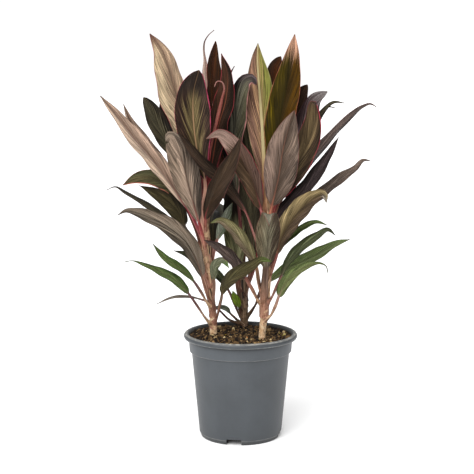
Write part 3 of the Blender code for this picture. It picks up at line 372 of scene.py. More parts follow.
RIGHT_LEAVES = [
    # tall and upright, in the middle
    Leaf("cream_striped", 318, [(34, -16, 350), (34, 3, 408), (32, 22, 459), (29, 39, 505), (26, 46, 544),
        (25, 48, 567), (26, 50, 586)], 0.24, 47, (0, 10), widest=0.56, stalk=2.4, taper=1.25),
    Leaf("golden", 326, [(42, -18, 358), (49, -10, 409), (56, -2, 459), (63, 4, 496), (69, 8, 525),
        (75, 11, 561), (79, 12, 598)], 0.24, 47, (-20, -20), widest=0.5, stalk=1.8, taper=1.1),
    Leaf("wine", 306, [(44, 4, 372), (45, 34, 429), (49, 50, 488), (49, 58, 529), (51, 62, 551),
        (61, 64, 567)], 0.4, 28, (20, 20), widest=0.66),
    Leaf("wine_dark", 306, [(46, -8, 365), (64, 10, 415), (76, 20, 466), (86, 25, 500), (92, 26, 514),
        (99, 27, 525)], 0.36, 34, (-20, -20), widest=0.6),
    Leaf("mauve_grey", 292, [(43, -26, 337), (48, -38, 363), (55, -48, 397), (60, -55, 433), (68, -60, 466),
        (76, -62, 490)], 0.29, 50, (-12, -12), fold=-10),
    Leaf("olive_brown", 300, [(52, -20, 351), (66, -26, 379), (84, -30, 414), (98, -32, 446), (104, -32, 475),
        (104, -30, 498), (109, -18, 492)], 0.26, 38, (-20, -20), fold=12),
    Leaf("purple_dark", 310, [(52, -14, 358), (73, -4, 401), (90, 4, 447), (100, 8, 481), (110, 9, 504),
        (127, 8, 515)], 0.3, 34, (-10, -10), widest=0.55),
    Leaf("black_green", 296, [(55, -12, 358), (84, 8, 405), (106, 14, 450), (121, 18, 484), (138, 20, 499),
        (154, 20, 498)], 0.5, 14, (-50, -50)),
    Leaf("black_green", 288, [(58, -4, 352), (86, 18, 402), (108, 24, 450), (120, 27, 480), (129, 28, 492),
        (140, 28, 491)], 0.5, 12, (-50, -50)),
    # leaning over to the left
    Leaf("fold_mauve", 286, [(31, -22, 339), (24, -24, 365), (17, -26, 387), (7, -27, 407), (-3, -28, 426),
        (-15, -28, 443), (-31, -28, 455), (-50, -30, 448)], 0.28, 34, (20, 20), fold=-10),
    Leaf("dark_brown", 256, [(18, -26, 312), (9, -22, 337), (-1, -16, 354), (-34, -14, 394), (-54, -33, 413),
        (-71, -46, 435), (-90, -57, 460)], 0.36, 24, (45, 45), fold=-10, stalk=0.6),
    Leaf("grey_olive", 196, [(30, -20, 222), (26, -24, 240), (23, -28, 259), (17, -33, 275), (9, -37, 288),
        (-1, -39, 303), (-15, -41, 320), (-30, -42, 330), (-44, -42, 327)], 0.4, 27, (50, 50), stalk=1.5),
    Leaf("dark_mauve", 192, [(26, -18, 209), (14, -20, 231), (4, -22, 248), (-7, -24, 264), (-21, -25, 279),
        (-39, -25, 292), (-54, -25, 300)], 0.4, 24, (50, 50), stalk=1.3),
    # towards the front
    Leaf("tongue", 206, [(35, -25, 228), (37, -29, 257), (38, -36, 284), (39, -48, 306), (40, -68, 329),
        (40, -88, 345), (39, -104, 343), (39, -116, 332)], 0.35, 37, (0, 0), fold=-16, wave=1.0, widest=0.38,
        stalk=2.3, front=DOWN_AND_FORWARD),
    # leaning out to the right
    Leaf("dark_mauve", 302, [(65, -14, 370), (87, -8, 392), (106, -4, 418), (126, -2, 442), (144, -2, 462),
        (162, -2, 480), (178, -2, 493), (190, -2, 497), (198, -2, 493)], 0.2, 24, (50, 50), fold=-12),
    Leaf("black_purple", 290, [(58, -20, 341), (72, -24, 355), (93, -28, 374), (113, -30, 401),
        (128, -30, 425), (141, -30, 450)], 0.18, 28, (-48, -48)),
    Leaf("brown_grey", 280, [(52, -18, 299), (74, -10, 328), (98, -6, 348), (123, -4, 368), (148, -4, 388),
        (169, -4, 403), (181, -4, 415), (191, -4, 414)], 0.3, 26, (-58, -58)),
    Leaf("khaki", 224, [(40, -20, 232), (46, -24, 255), (53, -30, 278), (58, -36, 300), (70, -42, 326),
        (87, -50, 349), (105, -56, 365), (118, -60, 370), (122, -63, 359)], 0.33, 34, (-35, -35), widest=0.5),
    Leaf("green", 240, [(46, -20, 267), (58, -24, 286), (75, -30, 306), (93, -36, 321), (110, -40, 328),
        (125, -42, 324)], 0.4, 14, (-55, -55)),
    Leaf("dark_green", 204, [(42, -20, 208), (49, -28, 223), (58, -36, 245), (70, -44, 272), (89, -50, 294),
        (111, -54, 310), (125, -57, 319), (136, -58, 311)], 0.34, 20, (-50, -50)),
    Leaf("light_green", 180, [(44, -20, 187), (51, -30, 202), (57, -40, 222), (69, -52, 246), (86, -60, 262),
        (102, -64, 270), (113, -66, 272), (122, -66, 268), (125, -66, 258)], 0.34, 20, (-40, -40),
        widest=0.36, taper=1.5),
    # behind
    BackLeaf("wine_dark", 308, [(58, 10, 380), (80, 36, 430), (95, 58, 454), (106, 82, 455)], 0.3, 38,
        (-15, -15)),
    BackLeaf("grey_mauve", 294, [(50, 34, 366), (60, 68, 418), (67, 100, 446), (71, 130, 444)], 0.3, 40,
        (0, 0)),
    BackLeaf("black_green", 284, [(52, 30, 340), (58, 74, 370), (64, 116, 376), (68, 150, 360)], 0.34, 36,
        (-10, -10)),
    BackLeaf("olive_dark", 272, [(50, 18, 312), (66, 46, 330), (82, 76, 328), (92, 104, 308)], 0.34, 34,
        (-20, -20)),
    BackLeaf("wine", 294, [(42, 14, 360), (51, 54, 425), (57, 84, 475), (60, 104, 500)], 0.3, 38, (10, 10)),
]

BACK_LEAVES = [
    Leaf("dark_sheen", 236, [(-1, 56, 327), (-10, 48, 404), (-11, 36, 442), (-7, 26, 472), (-3, 21, 499),
        (2, 18, 519), (9, 17, 531), (17, 17, 533), (23, 20, 524)], 0.36, 40, (-30, -30), widest=0.58),
    Leaf("forest", 190, [(-4, 56, 222), (-6, 57, 254), (-8, 58, 281), (-10, 60, 311), (-14, 62, 350),
        (-16, 64, 384)], 0.32, 34, (0, 0), stalk=1.8),
    Leaf("black_green", 184, [(10, 58, 215), (17, 58, 240), (18, 62, 310), (19, 64, 380), (20, 66, 440),
        (16, 72, 488)], 0.24, 48, (0, 0), widest=0.64, stalk=1.6),
    Leaf("dark_green", 160, [(-8, 56, 187), (-19, 52, 212), (-31, 47, 231), (-50, 42, 248), (-69, 38, 260),
        (-84, 34, 270), (-101, 30, 276)], 0.36, 20, (50, 50)),
    Leaf("pale_arch", 158, [(-7, 57, 160), (-15, 54, 164), (-33, 46, 182), (-53, 38, 197), (-77, 28, 205),
        (-103, 18, 206), (-126, 10, 198)], 0.55, 7, (60, 60), stalk=0.7),
    Leaf("bright_green", 166, [(-1, 52, 182), (-4, 46, 192), (-9, 42, 204), (-12, 38, 213)], 0.42, 12,
        (0, 0)),
    Leaf("grey_green", 162, [(-8, 55, 167), (-16, 49, 176), (-21, 45, 183), (-30, 40, 187), (-40, 36, 188)],
        0.5, 9, (40, 40), stalk=0.7),
    Leaf("mid_green", 170, [(17, 56, 178), (24, 50, 192), (31, 44, 212), (45, 38, 228), (64, 30, 245),
        (91, 24, 259), (119, 18, 274), (144, 14, 289), (163, 10, 296)], 0.36, 26, (-50, -50)),
    BackLeaf("grey_mauve", 226, [(-8, 72, 290), (-14, 98, 360), (-18, 130, 420), (-20, 160, 455),
        (-22, 185, 468)], 0.34, 42, (10, 10)),
    BackLeaf("wine_dark", 232, [(8, 72, 290), (17, 98, 355), (25, 132, 410), (38, 162, 440), (42, 188, 450)],
        0.34, 42, (-10, -10)),
    BackLeaf("olive_dark", 216, [(2, 84, 280), (0, 116, 335), (-3, 156, 380), (-5, 196, 395), (-6, 232, 385)],
        0.34, 40, (0, 0)),
    BackLeaf("black_green", 206, [(-8, 74, 240), (-16, 100, 290), (-23, 134, 322), (-27, 168, 330),
        (-30, 198, 316)], 0.36, 38, (20, 20)),
    BackLeaf("grey_mauve", 200, [(20, 72, 238), (32, 96, 282), (46, 128, 308), (58, 158, 308),
        (68, 186, 290)], 0.36, 34, (-20, -20)),
    BackLeaf("dark_green", 192, [(0, 84, 240), (-6, 112, 278), (-12, 152, 300), (-18, 192, 294),
        (-22, 226, 270)], 0.36, 32, (0, 0)),
    BackLeaf("olive_dark", 186, [(14, 80, 228), (23, 106, 262), (32, 144, 284), (40, 182, 276),
        (46, 212, 254)], 0.3, 38, (0, 0)),
]

LEAVES = {"left": LEFT_LEAVES, "right": RIGHT_LEAVES, "back": BACK_LEAVES}

# Leaf build, in mm and radians. A pair is a value at the stalk's or the blade's start and one at its end.
LEAF_ROWS = 80
LEAF_COLUMNS = 17
COURSE_STEPS = 24
LOWEST_STALK = 153.0
LONGEST_DROP = 22.0  # how far below its height a stalk's course may start
LEAST_RUN = 0.5
MOST_TWIST = 2.0
TWIST_ENDS = 0.75  # share of the bare stalk over which it turns from facing the cane to its own front
STALK_HALF_WIDTH = (3.0, 1.8)
TIP_HALF_WIDTH = 0.6
SLENDER = 1.7
BLADE_OPENS = 0.14  # share of the blade over which the stalk's channel opens out
STALK_BEND = 1.25  # half the angle that a stalk's channel turns through
STALK_SINK = 0.3  # how far the channel's middle lies behind the course, as a share of half its width
STALK_THINS = 0.7  # how much thinner the channel's edges are than its middle
SHEATH_BEND = 2.1
SHEATH_LENGTH = 18.0
SHEATH_SLACK = 0.5
SHEATH_THICKNESS = 0.5
FOLD_REACH = 0.12  # share of the half width in which the fold at the midrib is made
FOLD_EXCESS = 1.1  # the fold's slope beside the midrib as a factor, from which the camber takes some back
CAMBER = 0.3
CAMBER_MIDDLE = 0.35  # share of the half width at which the camber adds nothing to the slope
BLADE_THICKNESS = 0.44
RIB_THICKNESS = (4.0, 2.4, 1.1)  # at the cane, at the blade's start and at the tip
RIB_WIDTH = (1.6, 0.8)
RIB_GROOVE = 0.3  # how deep the midrib's groove is on the side that the blade folds towards
WAVES = 3.5
FULL_WAVE_WIDTH = 38.0  # the edges of a leaf narrower than this ripple less
CALM_POWER = 1.5  # of its share of that width
FLUTTERS = (4, 7)  # least and most waves of each edge's own flutter
EDGE_FLUTTER = 0.016  # share of the leaf's width
EDGE_POWER = 1.8  # of the distance from the midrib, with which the waves grow towards the edge
SEED_STRIDE = 100  # between the seeds of two canes' leaves


def arithmetic(operation):
    """The two methods of a socket that do this with another value: the socket comes first in one and second
    in the other."""

    def forward(self, other):
        return self.finish.maths(operation, self, other)

    def reflected(self, other):
        return self.finish.maths(operation, other, self)

    return forward, reflected


class Socket:
    """One output of a node. Arithmetic on sockets and numbers adds the Math nodes that work it out."""

    __add__, __radd__ = arithmetic("ADD")
    __sub__, __rsub__ = arithmetic("SUBTRACT")
    __mul__, __rmul__ = arithmetic("MULTIPLY")

    def __init__(self, finish, link):
        self.finish = finish
        self.link = link

    def __abs__(self):
        return self.finish.maths("ABSOLUTE", self)


class Finish:
    """A material, with the one Principled shader that everything in it feeds."""

    def __init__(self, name, specular):
        self.material = bpy.data.materials.new(name)
        self.material.use_nodes = True
        self.tree = self.material.node_tree
        self.shader = self.tree.nodes["Principled BSDF"]
        self.shader.inputs["Specular IOR Level"].default_value = specular

    def maths(self, operation, *values):
        """One sum on numbers and sockets."""
        return self.node("ShaderNodeMath", {"operation": operation}, dict(enumerate(values)))

    def node(self, kind, settings, values, output=0):
        """Adds a node, makes its settings, then fills or links its sockets, and gives one of its outputs."""
        node = self.tree.nodes.new(kind)
        for name, value in settings.items():
            setattr(node, name, value)
        for key, value in values.items():
            self.feed(node.inputs[key], value)
        return Socket(self, node.outputs[output])

    def feed(self, socket, value):
        """Links a socket's input to an output, or sets it to a number or a colour."""
        if isinstance(value, Socket):
            self.tree.links.new(value.link, socket)
        elif isinstance(value, tuple) and socket.type == "RGBA":
            socket.default_value = (*value[:3], 1.0)
        else:
            socket.default_value = value

    def attribute(self, name, output="Vector"):
        """What the piece stores under this name."""
        return self.node("ShaderNodeAttribute", {"attribute_name": name}, {}, output)

    def parts(self, vector):
        """The vector's three numbers."""
        node = self.node("ShaderNodeSeparateXYZ", {}, {0: vector}).link.node
        return [Socket(self, output) for output in node.outputs]

    def vector(self, x, y, z):
        """Three numbers as one vector."""
        return self.node("ShaderNodeCombineXYZ", {}, {0: x, 1: y, 2: z})

    def place(self):
        """Where the point is on the object, in metres."""
        return self.node("ShaderNodeTexCoord", {}, {}, "Object")

    def noise(self, where, scale, detail=2.0, roughness=0.5):
        """Noise from 0 to 1, mostly near its middle of 0.5."""
        values = {"Vector": where, "Scale": scale, "Detail": detail, "Roughness": roughness}
        return self.node("ShaderNodeTexNoise", {}, values)

    def grain(self, x, y, z, detail=2.0, roughness=0.5):
        """Noise over three numbers, each scaled by itself, so that it can be drawn out along one of them."""
        return self.noise(self.vector(x, y, z), 1.0, detail, roughness)

    def step(self, value, low, high):
        """Rises smoothly from 0 at low to 1 at high."""
        values = {"Value": value, "From Min": low, "From Max": high}
        return self.node("ShaderNodeMapRange", {"interpolation_type": "SMOOTHSTEP"}, values)

    def fall(self, value, low, high):
        """Falls smoothly from 1 at low to 0 at high."""
        return 1 - self.step(value, low, high)

    def mix(self, share, first, second):
        """From the first colour to the second, as the share goes from 0 to 1."""
        return self.node("ShaderNodeMix", {"data_type": "RGBA"}, {0: share, 6: first, 7: second}, 2)

    def shade(self, colour, factor):
        """The colour times a number."""
        return self.node("ShaderNodeVectorMath", {"operation": "SCALE"}, {0: colour, "Scale": factor})

    def bump(self, height, strength, distance):
        """Tilts the surface's normal by the slope of this height."""
        values = {"Height": height, "Strength": strength, "Distance": distance}
        self.feed(self.shader.inputs["Normal"], self.node("ShaderNodeBump", {}, values))

    def surface(self, **inputs):
        """Feeds the shader's inputs, by their names in small letters, and gives the finished material."""
        for name, value in inputs.items():
            self.feed(self.shader.inputs[name.replace("_", " ").title()], value)
        return self.material


def tone(colour):
    """A colour given as seen, to 255, as the linear values that a shader takes under the studio's light."""
    c = np.array(colour, float) / 255
    linear = np.where(c <= 0.04045, c / 12.92, ((c + 0.055) / 1.055) ** 2.4)
    return tuple(float(v) for v in np.clip(blend(VIVID, linear.mean(), linear), 0, 1) * STUDIO)


def paint(name):
    """The palette's colour of this name, for a shader."""
    return tone(PALETTE[name])


def times(colour, factor):
    """The colour times a number, worked out here."""
    return tuple(float(c) * factor for c in colour)


def new_object(name, data):
    """A new object in the scene, of this mesh, light or camera."""
    thing = bpy.data.objects.new(name, data)
    bpy.context.scene.collection.objects.link(thing)
    return thing


def new_mesh(name, points, faces, finish=None):
    """A mesh of points in metres and faces."""
    mesh = bpy.data.meshes.new(name)
    mesh.from_pydata(points, [], faces)
    if finish:
        mesh.materials.append(finish)
    return mesh


def new_piece(name, points, faces, finish):
    """A mesh object, riding on the part's one body."""
    mesh = new_mesh(name, points, faces, finish)
    mesh.shade_smooth()
    mesh.set_sharp_from_angle(angle=SHARP)
    piece = new_object(name, mesh)
    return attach(piece, "root")


def set_attribute(piece, name, kind, values):
    """Stores one value a point: FLOAT, FLOAT_VECTOR or FLOAT_COLOR."""
    field = {"FLOAT": "value", "FLOAT_VECTOR": "vector", "FLOAT_COLOR": "color"}[kind]
    attribute = piece.data.attributes.new(name, kind, "POINT")
    attribute.data.foreach_set(field, np.ascontiguousarray(values, np.float32).ravel())


def grid_faces(rows, columns):
    """Quads of a grid whose columns close into a ring, facing out where the ring turns as a left-handed screw
    along the rows."""
    low = np.arange(rows - 1)[:, None] * columns
    here = np.arange(columns)[None]
    after = (here + 1) % columns
    return np.stack([low + here, low + after, low + columns + after, low + columns + here], -1).reshape(-1, 4)


def strip_caps(rows, columns):
    """Closes both ends of a flattened ring: each point of its first half is joined to the one opposite."""
    here = np.arange(columns // 2 - 1)
    cap = np.stack([here, here + 1, columns - 2 - here, columns - 1 - here], -1)
    return np.concatenate([cap[:, ::-1], cap + (rows - 1) * columns])


def ring_caps(rows, columns):
    """Closes both ends of a grid of rings with one face each."""
    ring = np.arange(columns)
    return [ring[::-1].tolist(), (ring + (rows - 1) * columns).tolist()]


def pole_fans(rows, columns):
    """Closes both ends of a grid of rings with triangles to two poles, whose points follow the grid's."""
    here = np.arange(columns)
    after, top = (here + 1) % columns, (rows - 1) * columns
    pole = np.full(columns, rows * columns)
    return np.concatenate(
        [np.stack([after, here, pole], -1), np.stack([top + here, top + after, pole + 1], -1)]
    )


def copies_of(faces, copies, points):
    """The same faces for each of several grids that follow each other in one list of points."""
    return (faces[None] + (np.arange(copies) * points)[:, None, None]).reshape(-1, faces.shape[1])


def smooth(value):
    """Rises smoothly from 0 to 1 as the value does, and stays there beyond."""
    value = np.clip(value, 0, 1)
    return value * value * (3 - 2 * value)


def blend(share, first, second):
    """From the first to the second, as the share goes from 0 to 1."""
    return first + (second - first) * share


def unit(vectors):
    """The vectors at length 1."""
    return vectors / np.linalg.norm(vectors, axis=-1, keepdims=True)


def patches(x, y, cell, seed):
    """Value noise from -1 to 1: random numbers on a square grid of this cell, smoothly joined between."""
    table = np.random.default_rng(seed).uniform(-1, 1, (NOISE_CELLS, NOISE_CELLS))
    i, j = np.floor(x / cell).astype(int), np.floor(y / cell).astype(int)
    s, t = smooth(x / cell - i), smooth(y / cell - j)
    i, j, right, up = i % NOISE_CELLS, j % NOISE_CELLS, (i + 1) % NOISE_CELLS, (j + 1) % NOISE_CELLS
    return blend(t, blend(s, table[i, j], table[right, j]), blend(s, table[i, up], table[right, up]))


def between_stops(at, stops, values):
    """Each column of the values, at these numbers between the stops that its rows belong to."""
    return np.stack([np.interp(at, stops, column) for column in values.T], -1)


def smooth_course(points, count):
    """Evenly spaced places on the cubic curve through the points, the share of the length at each, and the
    length. Between two points the curve is a cubic Hermite, whose slope at a point is the mean of the slopes
    of the two chords that meet there, each weighted by the other's length."""
    points = np.array(points, float)
    chord = np.linalg.norm(np.diff(points, axis=0), axis=1)[:, None]
    slope = np.diff(points, axis=0) / chord
    inner = (slope[:-1] * chord[1:] + slope[1:] * chord[:-1]) / (chord[1:] + chord[:-1])
    slopes = np.concatenate([slope[:1], inner, slope[-1:]])
    t = np.linspace(0, 1, COURSE_STEPS, endpoint=False)[None, :, None]
    p0, p1 = points[:-1, None], points[1:, None]
    m0, m1 = slopes[:-1, None] * chord[:, None], slopes[1:, None] * chord[:, None]
    bend = 3 * t**2 - 2 * t**3
    curve = p0 + bend * (p1 - p0) + (t**3 - 2 * t**2 + t) * m0 + (t**3 - t**2) * m1
    curve = np.concatenate([curve.reshape(-1, 3), points[-1:]])
    reach = np.concatenate([[0], np.cumsum(np.linalg.norm(np.diff(curve, axis=0), axis=1))])
    share = np.linspace(0, 1, count)
    return between_stops(share * reach[-1], reach, curve), share, reach[-1]


def on_axis(cane, heights):
    """The places on the cane's axis at these heights."""
    axis = smooth_course(cane["axis"], CANE_ROWS)[0]
    return between_stops(heights, axis[:, 2], axis)


def half_widths(leaf, share, blade):
    """Half the leaf's width along its course: a bare stalk, then a lance-shaped blade, which is the product
    of a power of the distance from its start and a power of the distance from its tip."""
    growth, taper = SLENDER * leaf.widest, SLENDER * (1 - leaf.widest) * leaf.taper
    peak = growth / (growth + taper)
    most = peak**growth * (1 - peak) ** taper
    lance = leaf.width / 2 * blade**growth * (1 - blade) ** taper / most
    start, end = np.array(STALK_HALF_WIDTH) * leaf.stalk
    return np.maximum(lance, np.interp(share, (0, leaf.blade, 1), (start, end, TIP_HALF_WIDTH)))


def leaf_frame(leaf, places, share, blade, root):
    """The side and face directions at each place. The frame looks along the leaf's front, turned by its roll,
    and near the cane it is turned about the course so that the stalk's channel opens towards the cane."""
    ahead = unit(np.gradient(places, axis=0))
    side = unit(np.cross(ahead, unit(np.array(leaf.front, float))))
    face = np.cross(side, ahead)
    outward = (np.array(leaf.route[0], float) - root) * (1, 1, 0)
    upper = math.copysign(1, leaf.fold) * face[0]
    turn = math.atan2(np.cross(upper, -outward) @ ahead[0], -outward @ upper)
    turn = min(max(turn, -MOST_TWIST), MOST_TWIST) * (1 - smooth(share / (TWIST_ENDS * leaf.blade)))
    angle = (np.radians(np.interp(blade, (0, 1), leaf.roll)) + turn)[:, None]
    return np.cos(angle) * side - np.sin(angle) * face, np.cos(angle) * face + np.sin(angle) * side


def stalk_root(leaf, cane):
    """Where the stalk's course starts on the cane's axis: where the line of its first free stretch would meet
    the axis, so that it leaves the cane at a sharp angle, but no higher than its height and no lower than the
    soil."""
    first, second = np.array(leaf.route[:2], float)
    run = np.linalg.norm((second - first)[:2])
    away = np.linalg.norm((first - on_axis(cane, leaf.height))[:2])
    drop = away * (second - first)[2] / max(run, LEAST_RUN)
    height = min(leaf.height, max(first[2] - drop, leaf.height - LONGEST_DROP, LOWEST_STALK))
    return on_axis(cane, height)


def mirrored(values, sign=1):
    """A row of values from the midrib to the right edge, carried over to the left with this sign."""
    return np.concatenate([sign * values[:, :0:-1], values], 1)


def sections(leaf, half, opened, sheath, cane_radius):
    """Each cross-section from the midrib to the right edge: its corners as shares of the half width and as x
    and z, the surface's angle at each, and the arm's length along the surface.

    The angle away from the flat grows with the distance from the midrib: quickly and then back a little in
    the blade, evenly round a channel in the stalk, and further round the cane in the sheath. The section is
    the running sum of that direction.
    """
    fold = math.radians(abs(leaf.fold))
    arms = (LEAF_COLUMNS - 1) // 2
    corner = np.arange(arms + 1)[None] / arms
    between = corner[:, :-1] + 0.5 / arms

    def bend(across):
        """The angle of the surface at this share of the half width."""
        blade_bend = (
            fold * FOLD_EXCESS * (1 - np.exp(-across / FOLD_REACH)) + CAMBER * (CAMBER_MIDDLE - across)
        )
        return blend(sheath, blend(opened, STALK_BEND * across, blade_bend), SHEATH_BEND * across)

    x, z = (np.pad(np.cumsum(part(bend(between)), 1) / arms, ((0, 0), (1, 0))) for part in (np.cos, np.sin))
    open_arm = half * math.cos(fold) / x[:, -1:]
    stalk_arm = half * STALK_BEND / math.sin(STALK_BEND)
    arm = blend(sheath, blend(opened, stalk_arm, open_arm), cane_radius * SHEATH_BEND)
    sink = blend(sheath, STALK_SINK * half * (1 - opened), cane_radius)
    return corner, x * arm, z * arm - sink, bend(corner), arm


def edge_ripples(leaf, blade, chance):
    """How far the left and the right edge ripple off the surface along the blade: a sine that runs opposite
    ways on the two and a flutter of each edge's own. Both swell and fade along the blade as half a sine
    does."""
    calm = min(leaf.width / FULL_WAVE_WIDTH, 1) ** CALM_POWER * np.sin(math.pi * blade)
    ripple = leaf.wave * np.sin(2 * math.pi * WAVES * blade)
    waves, phases = chance.uniform(*FLUTTERS, 2), chance.uniform(0, 1, 2)
    flutter = EDGE_FLUTTER * leaf.width * np.sin(2 * math.pi * (waves[:, None] * blade + phases[:, None]))
    return calm * (flutter[0] + ripple), calm * (flutter[1] - ripple)


def rib_profile(leaf, share, blade, opened, across, from_rib):
    """How far the side that the blade folds away from and the side that it folds towards stand off the
    middle. Both are half the blade's thickness. Towards the midrib the first adds a ridge and the second
    takes away a groove, which fall off as a Gaussian does. In the stalk both are one thickness, which sinks
    with the square of the distance from the middle."""
    rib = np.interp(share, (0, leaf.blade, 1), RIB_THICKNESS)[:, None] / 2
    thin, near = BLADE_THICKNESS / 2, np.exp(-(from_rib**2))
    ridge = thin + (rib - thin) * near
    groove = thin - RIB_GROOVE * near * np.sin(math.pi * blade)[:, None]
    stalk = rib * (1 - STALK_THINS * across**2)
    return blend(opened, stalk, ridge), blend(opened, stalk, groove)


def leaf_surface(leaf, cane, seed):
    """One leaf as a closed grid, and what its finish reads.

    Its middle surface is a row of cross-sections along the course. The left half of each is the mirror of the
    right, and the edges' ripples are added with a power of the distance from the midrib. The leaf's two faces
    stand off the middle surface along its normal.
    """
    chance = np.random.default_rng(seed)
    root = stalk_root(leaf, cane)
    places, share, length = smooth_course([root, *leaf.route], LEAF_ROWS)
    blade = np.clip((share - leaf.blade) / (1 - leaf.blade), 0, 1)
    side, face = leaf_frame(leaf, places, share, blade, root)
    upper = math.copysign(1, leaf.fold)
    cane_radius = np.interp(leaf.height, *zip(*cane["radii"])) + SHEATH_SLACK
    opened = smooth(blade / BLADE_OPENS)[:, None]
    sheath = (1 - smooth(share * length / SHEATH_LENGTH))[:, None]
    places = blend(sheath, places, on_axis(cane, places[:, 2]))

    half = half_widths(leaf, share, blade)[:, None]
    corner, x, z, turn, arm = sections(leaf, half, opened, sheath, cane_radius)
    across = mirrored(corner, -1)[0]
    x, z, turn = mirrored(x, -1), upper * mirrored(z), mirrored(turn)
    left, right = edge_ripples(leaf, blade, chance)
    z = z + np.where(across < 0, left[:, None], right[:, None]) * np.abs(across) ** EDGE_POWER

    from_rib = np.abs(across) * arm / np.interp(blade, (0, 1), RIB_WIDTH)[:, None]
    sides = rib_profile(leaf, share, blade, opened, across, from_rib)
    ridge, groove = (blend(sheath, off, SHEATH_THICKNESS / 2) for off in sides)
    above, below = (groove, ridge) if upper > 0 else (ridge, groove)
    off_x, off_z = -upper * np.sign(across) * np.sin(turn), np.cos(turn)
    middle = places[:, None] + x[..., None] * side[:, None] + z[..., None] * face[:, None]
    normal = off_x[..., None] * side[:, None] + off_z[..., None] * face[:, None]
    seen, unseen = middle + above[..., None] * normal, middle - below[..., None] * normal

    def both(values):
        """The same values on both faces."""
        values = np.broadcast_to(values, (LEAF_ROWS, LEAF_COLUMNS))
        return np.concatenate([values, values[:, ::-1]], 1)

    tint = chance.uniform(0, 1)
    shares = np.stack([both(across), both(blade[:, None]), both(tint)], -1)
    lengths = np.stack(
        [both(across * arm), both((share * length)[:, None]), both((1 - abs(across)) * arm)], -1
    )
    shown = np.repeat([[1.0, 0.0]], LEAF_ROWS, 0).repeat(LEAF_COLUMNS, 1)
    return np.concatenate([seen, unseen[:, ::-1]], 1), shares, lengths * MM, shown


def spread_over(piece, name, values, shape):
    """Stores one leaf's four numbers at every point of that leaf."""
    set_attribute(piece, name, "FLOAT_COLOR", np.broadcast_to(values[:, None, None], (*shape[:3], 4)))


def leaves_piece(name, leaves, cane, seed, finish):
    """All the leaves of one cane in one mesh, with each leaf's colours and places as attributes."""
    made = [leaf_surface(leaf, cane, seed + number) for number, leaf in enumerate(leaves)]
    points, shares, lengths, shown = (np.stack(each) for each in zip(*made))
    columns = 2 * LEAF_COLUMNS
    faces = np.concatenate([grid_faces(LEAF_ROWS, columns), strip_caps(LEAF_ROWS, columns)])
    faces = copies_of(faces, len(leaves), LEAF_ROWS * columns)
    piece = new_piece(name, points.reshape(-1, 3) * MM, faces, finish)
    set_attribute(piece, "leaf_share", "FLOAT_VECTOR", shares)
    set_attribute(piece, "leaf_length", "FLOAT_VECTOR", lengths)
    set_attribute(piece, "seen_side", "FLOAT", shown)
    set_attribute(piece, "cane_shade", "FLOAT", np.full(shown.size, cane["shade"]))
    for field in TONES:
        colours = [getattr(LOOKS[leaf.look], field) for leaf in leaves]
        colours = np.array([(*tone(colour[:3]), *colour[3:], 1)[:4] for colour in colours])
        spread_over(piece, "tone_" + field, colours, points.shape)
    spread_over(piece, "leaf_marks", np.array([LOOKS[leaf.look].marks for leaf in leaves]), points.shape)
    return piece


def cane_surface(cane, seed):
    """A tube round the cane's axis. On its bare foot the radius swells towards each leaf scar and drops back
    past it. Higher up it is drawn in between strands, as much as the fourth power of a cosine says, whose
    angle turns slowly with the height: those are the stalks' feet that wrap the cane. Low lumps go over the
    whole."""
    chance = np.random.default_rng(seed)
    places, share, length = smooth_course(cane["axis"], CANE_ROWS)
    angle = 2 * math.pi * np.arange(CANE_SIDES)[None] / CANE_SIDES
    waver, latest = SCAR_WAVER
    along = (share * length)[:, None] + waver * np.sin(angle + chance.uniform(0, latest))
    scars = np.cumsum([-SCAR_DISTANCE, *chance.uniform(*SCAR_SPREAD, SCARS) * SCAR_DISTANCE])
    index = np.searchsorted(scars, along)
    between = (along - scars[index - 1]) / (scars[index] - scars[index - 1])
    wrapped = smooth((places[:, 2:] - BARE_TO[0]) / (BARE_TO[1] - BARE_TO[0]))
    sway, rise = STRAND_SWAY
    turn = STRANDS * (angle + STRAND_TWIST * along + sway * np.sin(along / rise + seed)) / (2 * math.pi)
    furrow = np.cos(math.pi * turn) ** 4
    swell, thinner = SCAR_SWELL
    turn_length, cell, height = CANE_NOISE
    radius = np.interp(places[:, 2], *zip(*cane["radii"]))[:, None]
    radius = (
        radius + (swell * between**3 - thinner) * (1 - SCAR_FADE * wrapped) - STRAND_DEPTH * furrow * wrapped
    )
    radius = radius + height * patches(angle * turn_length / (2 * math.pi), along, cell, seed)
    circle = np.stack([np.cos(angle), np.sin(angle), np.zeros_like(angle)], -1)
    strand = np.floor(turn + 0.5) % STRANDS
    strands = np.stack([strand, furrow, np.broadcast_to(wrapped, furrow.shape)], -1)
    return places[:, None] + radius[..., None] * circle, between, strands


def cane_piece(name, cane, seed, finish):
    """The cane's tube, each end closed by one face."""
    points, between, strands = cane_surface(cane, seed)
    faces = grid_faces(CANE_ROWS, CANE_SIDES).tolist() + ring_caps(CANE_ROWS, CANE_SIDES)
    piece = new_piece(name, points.reshape(-1, 3) * MM, faces, finish)
    set_attribute(piece, "scar", "FLOAT", between)
    set_attribute(piece, "strand", "FLOAT_VECTOR", strands)
    set_attribute(piece, "cane_shade", "FLOAT", np.full(between.shape, cane["shade"]))
    return piece


def rounded(profile, radius, steps):
    """The profile with each corner between its ends replaced by a parabola that meets both of its sides at
    this distance, or two fifths of the side where that is shorter."""
    points = np.array(profile, float)
    before, here, after = points[:-2], points[1:-1], points[2:]
    t = np.linspace(0, 1, steps)[None, :, None]
    toward, onward = before - here, after - here
    start, end = (
        here + way * np.minimum(radius / np.linalg.norm(way, axis=1), 0.4)[:, None]
        for way in (toward, onward)
    )
    curve = (1 - t) ** 2 * start[:, None] + 2 * t * (1 - t) * here[:, None] + t**2 * end[:, None]
    return np.concatenate([points[:1], curve.reshape(-1, 2), points[-1:]])


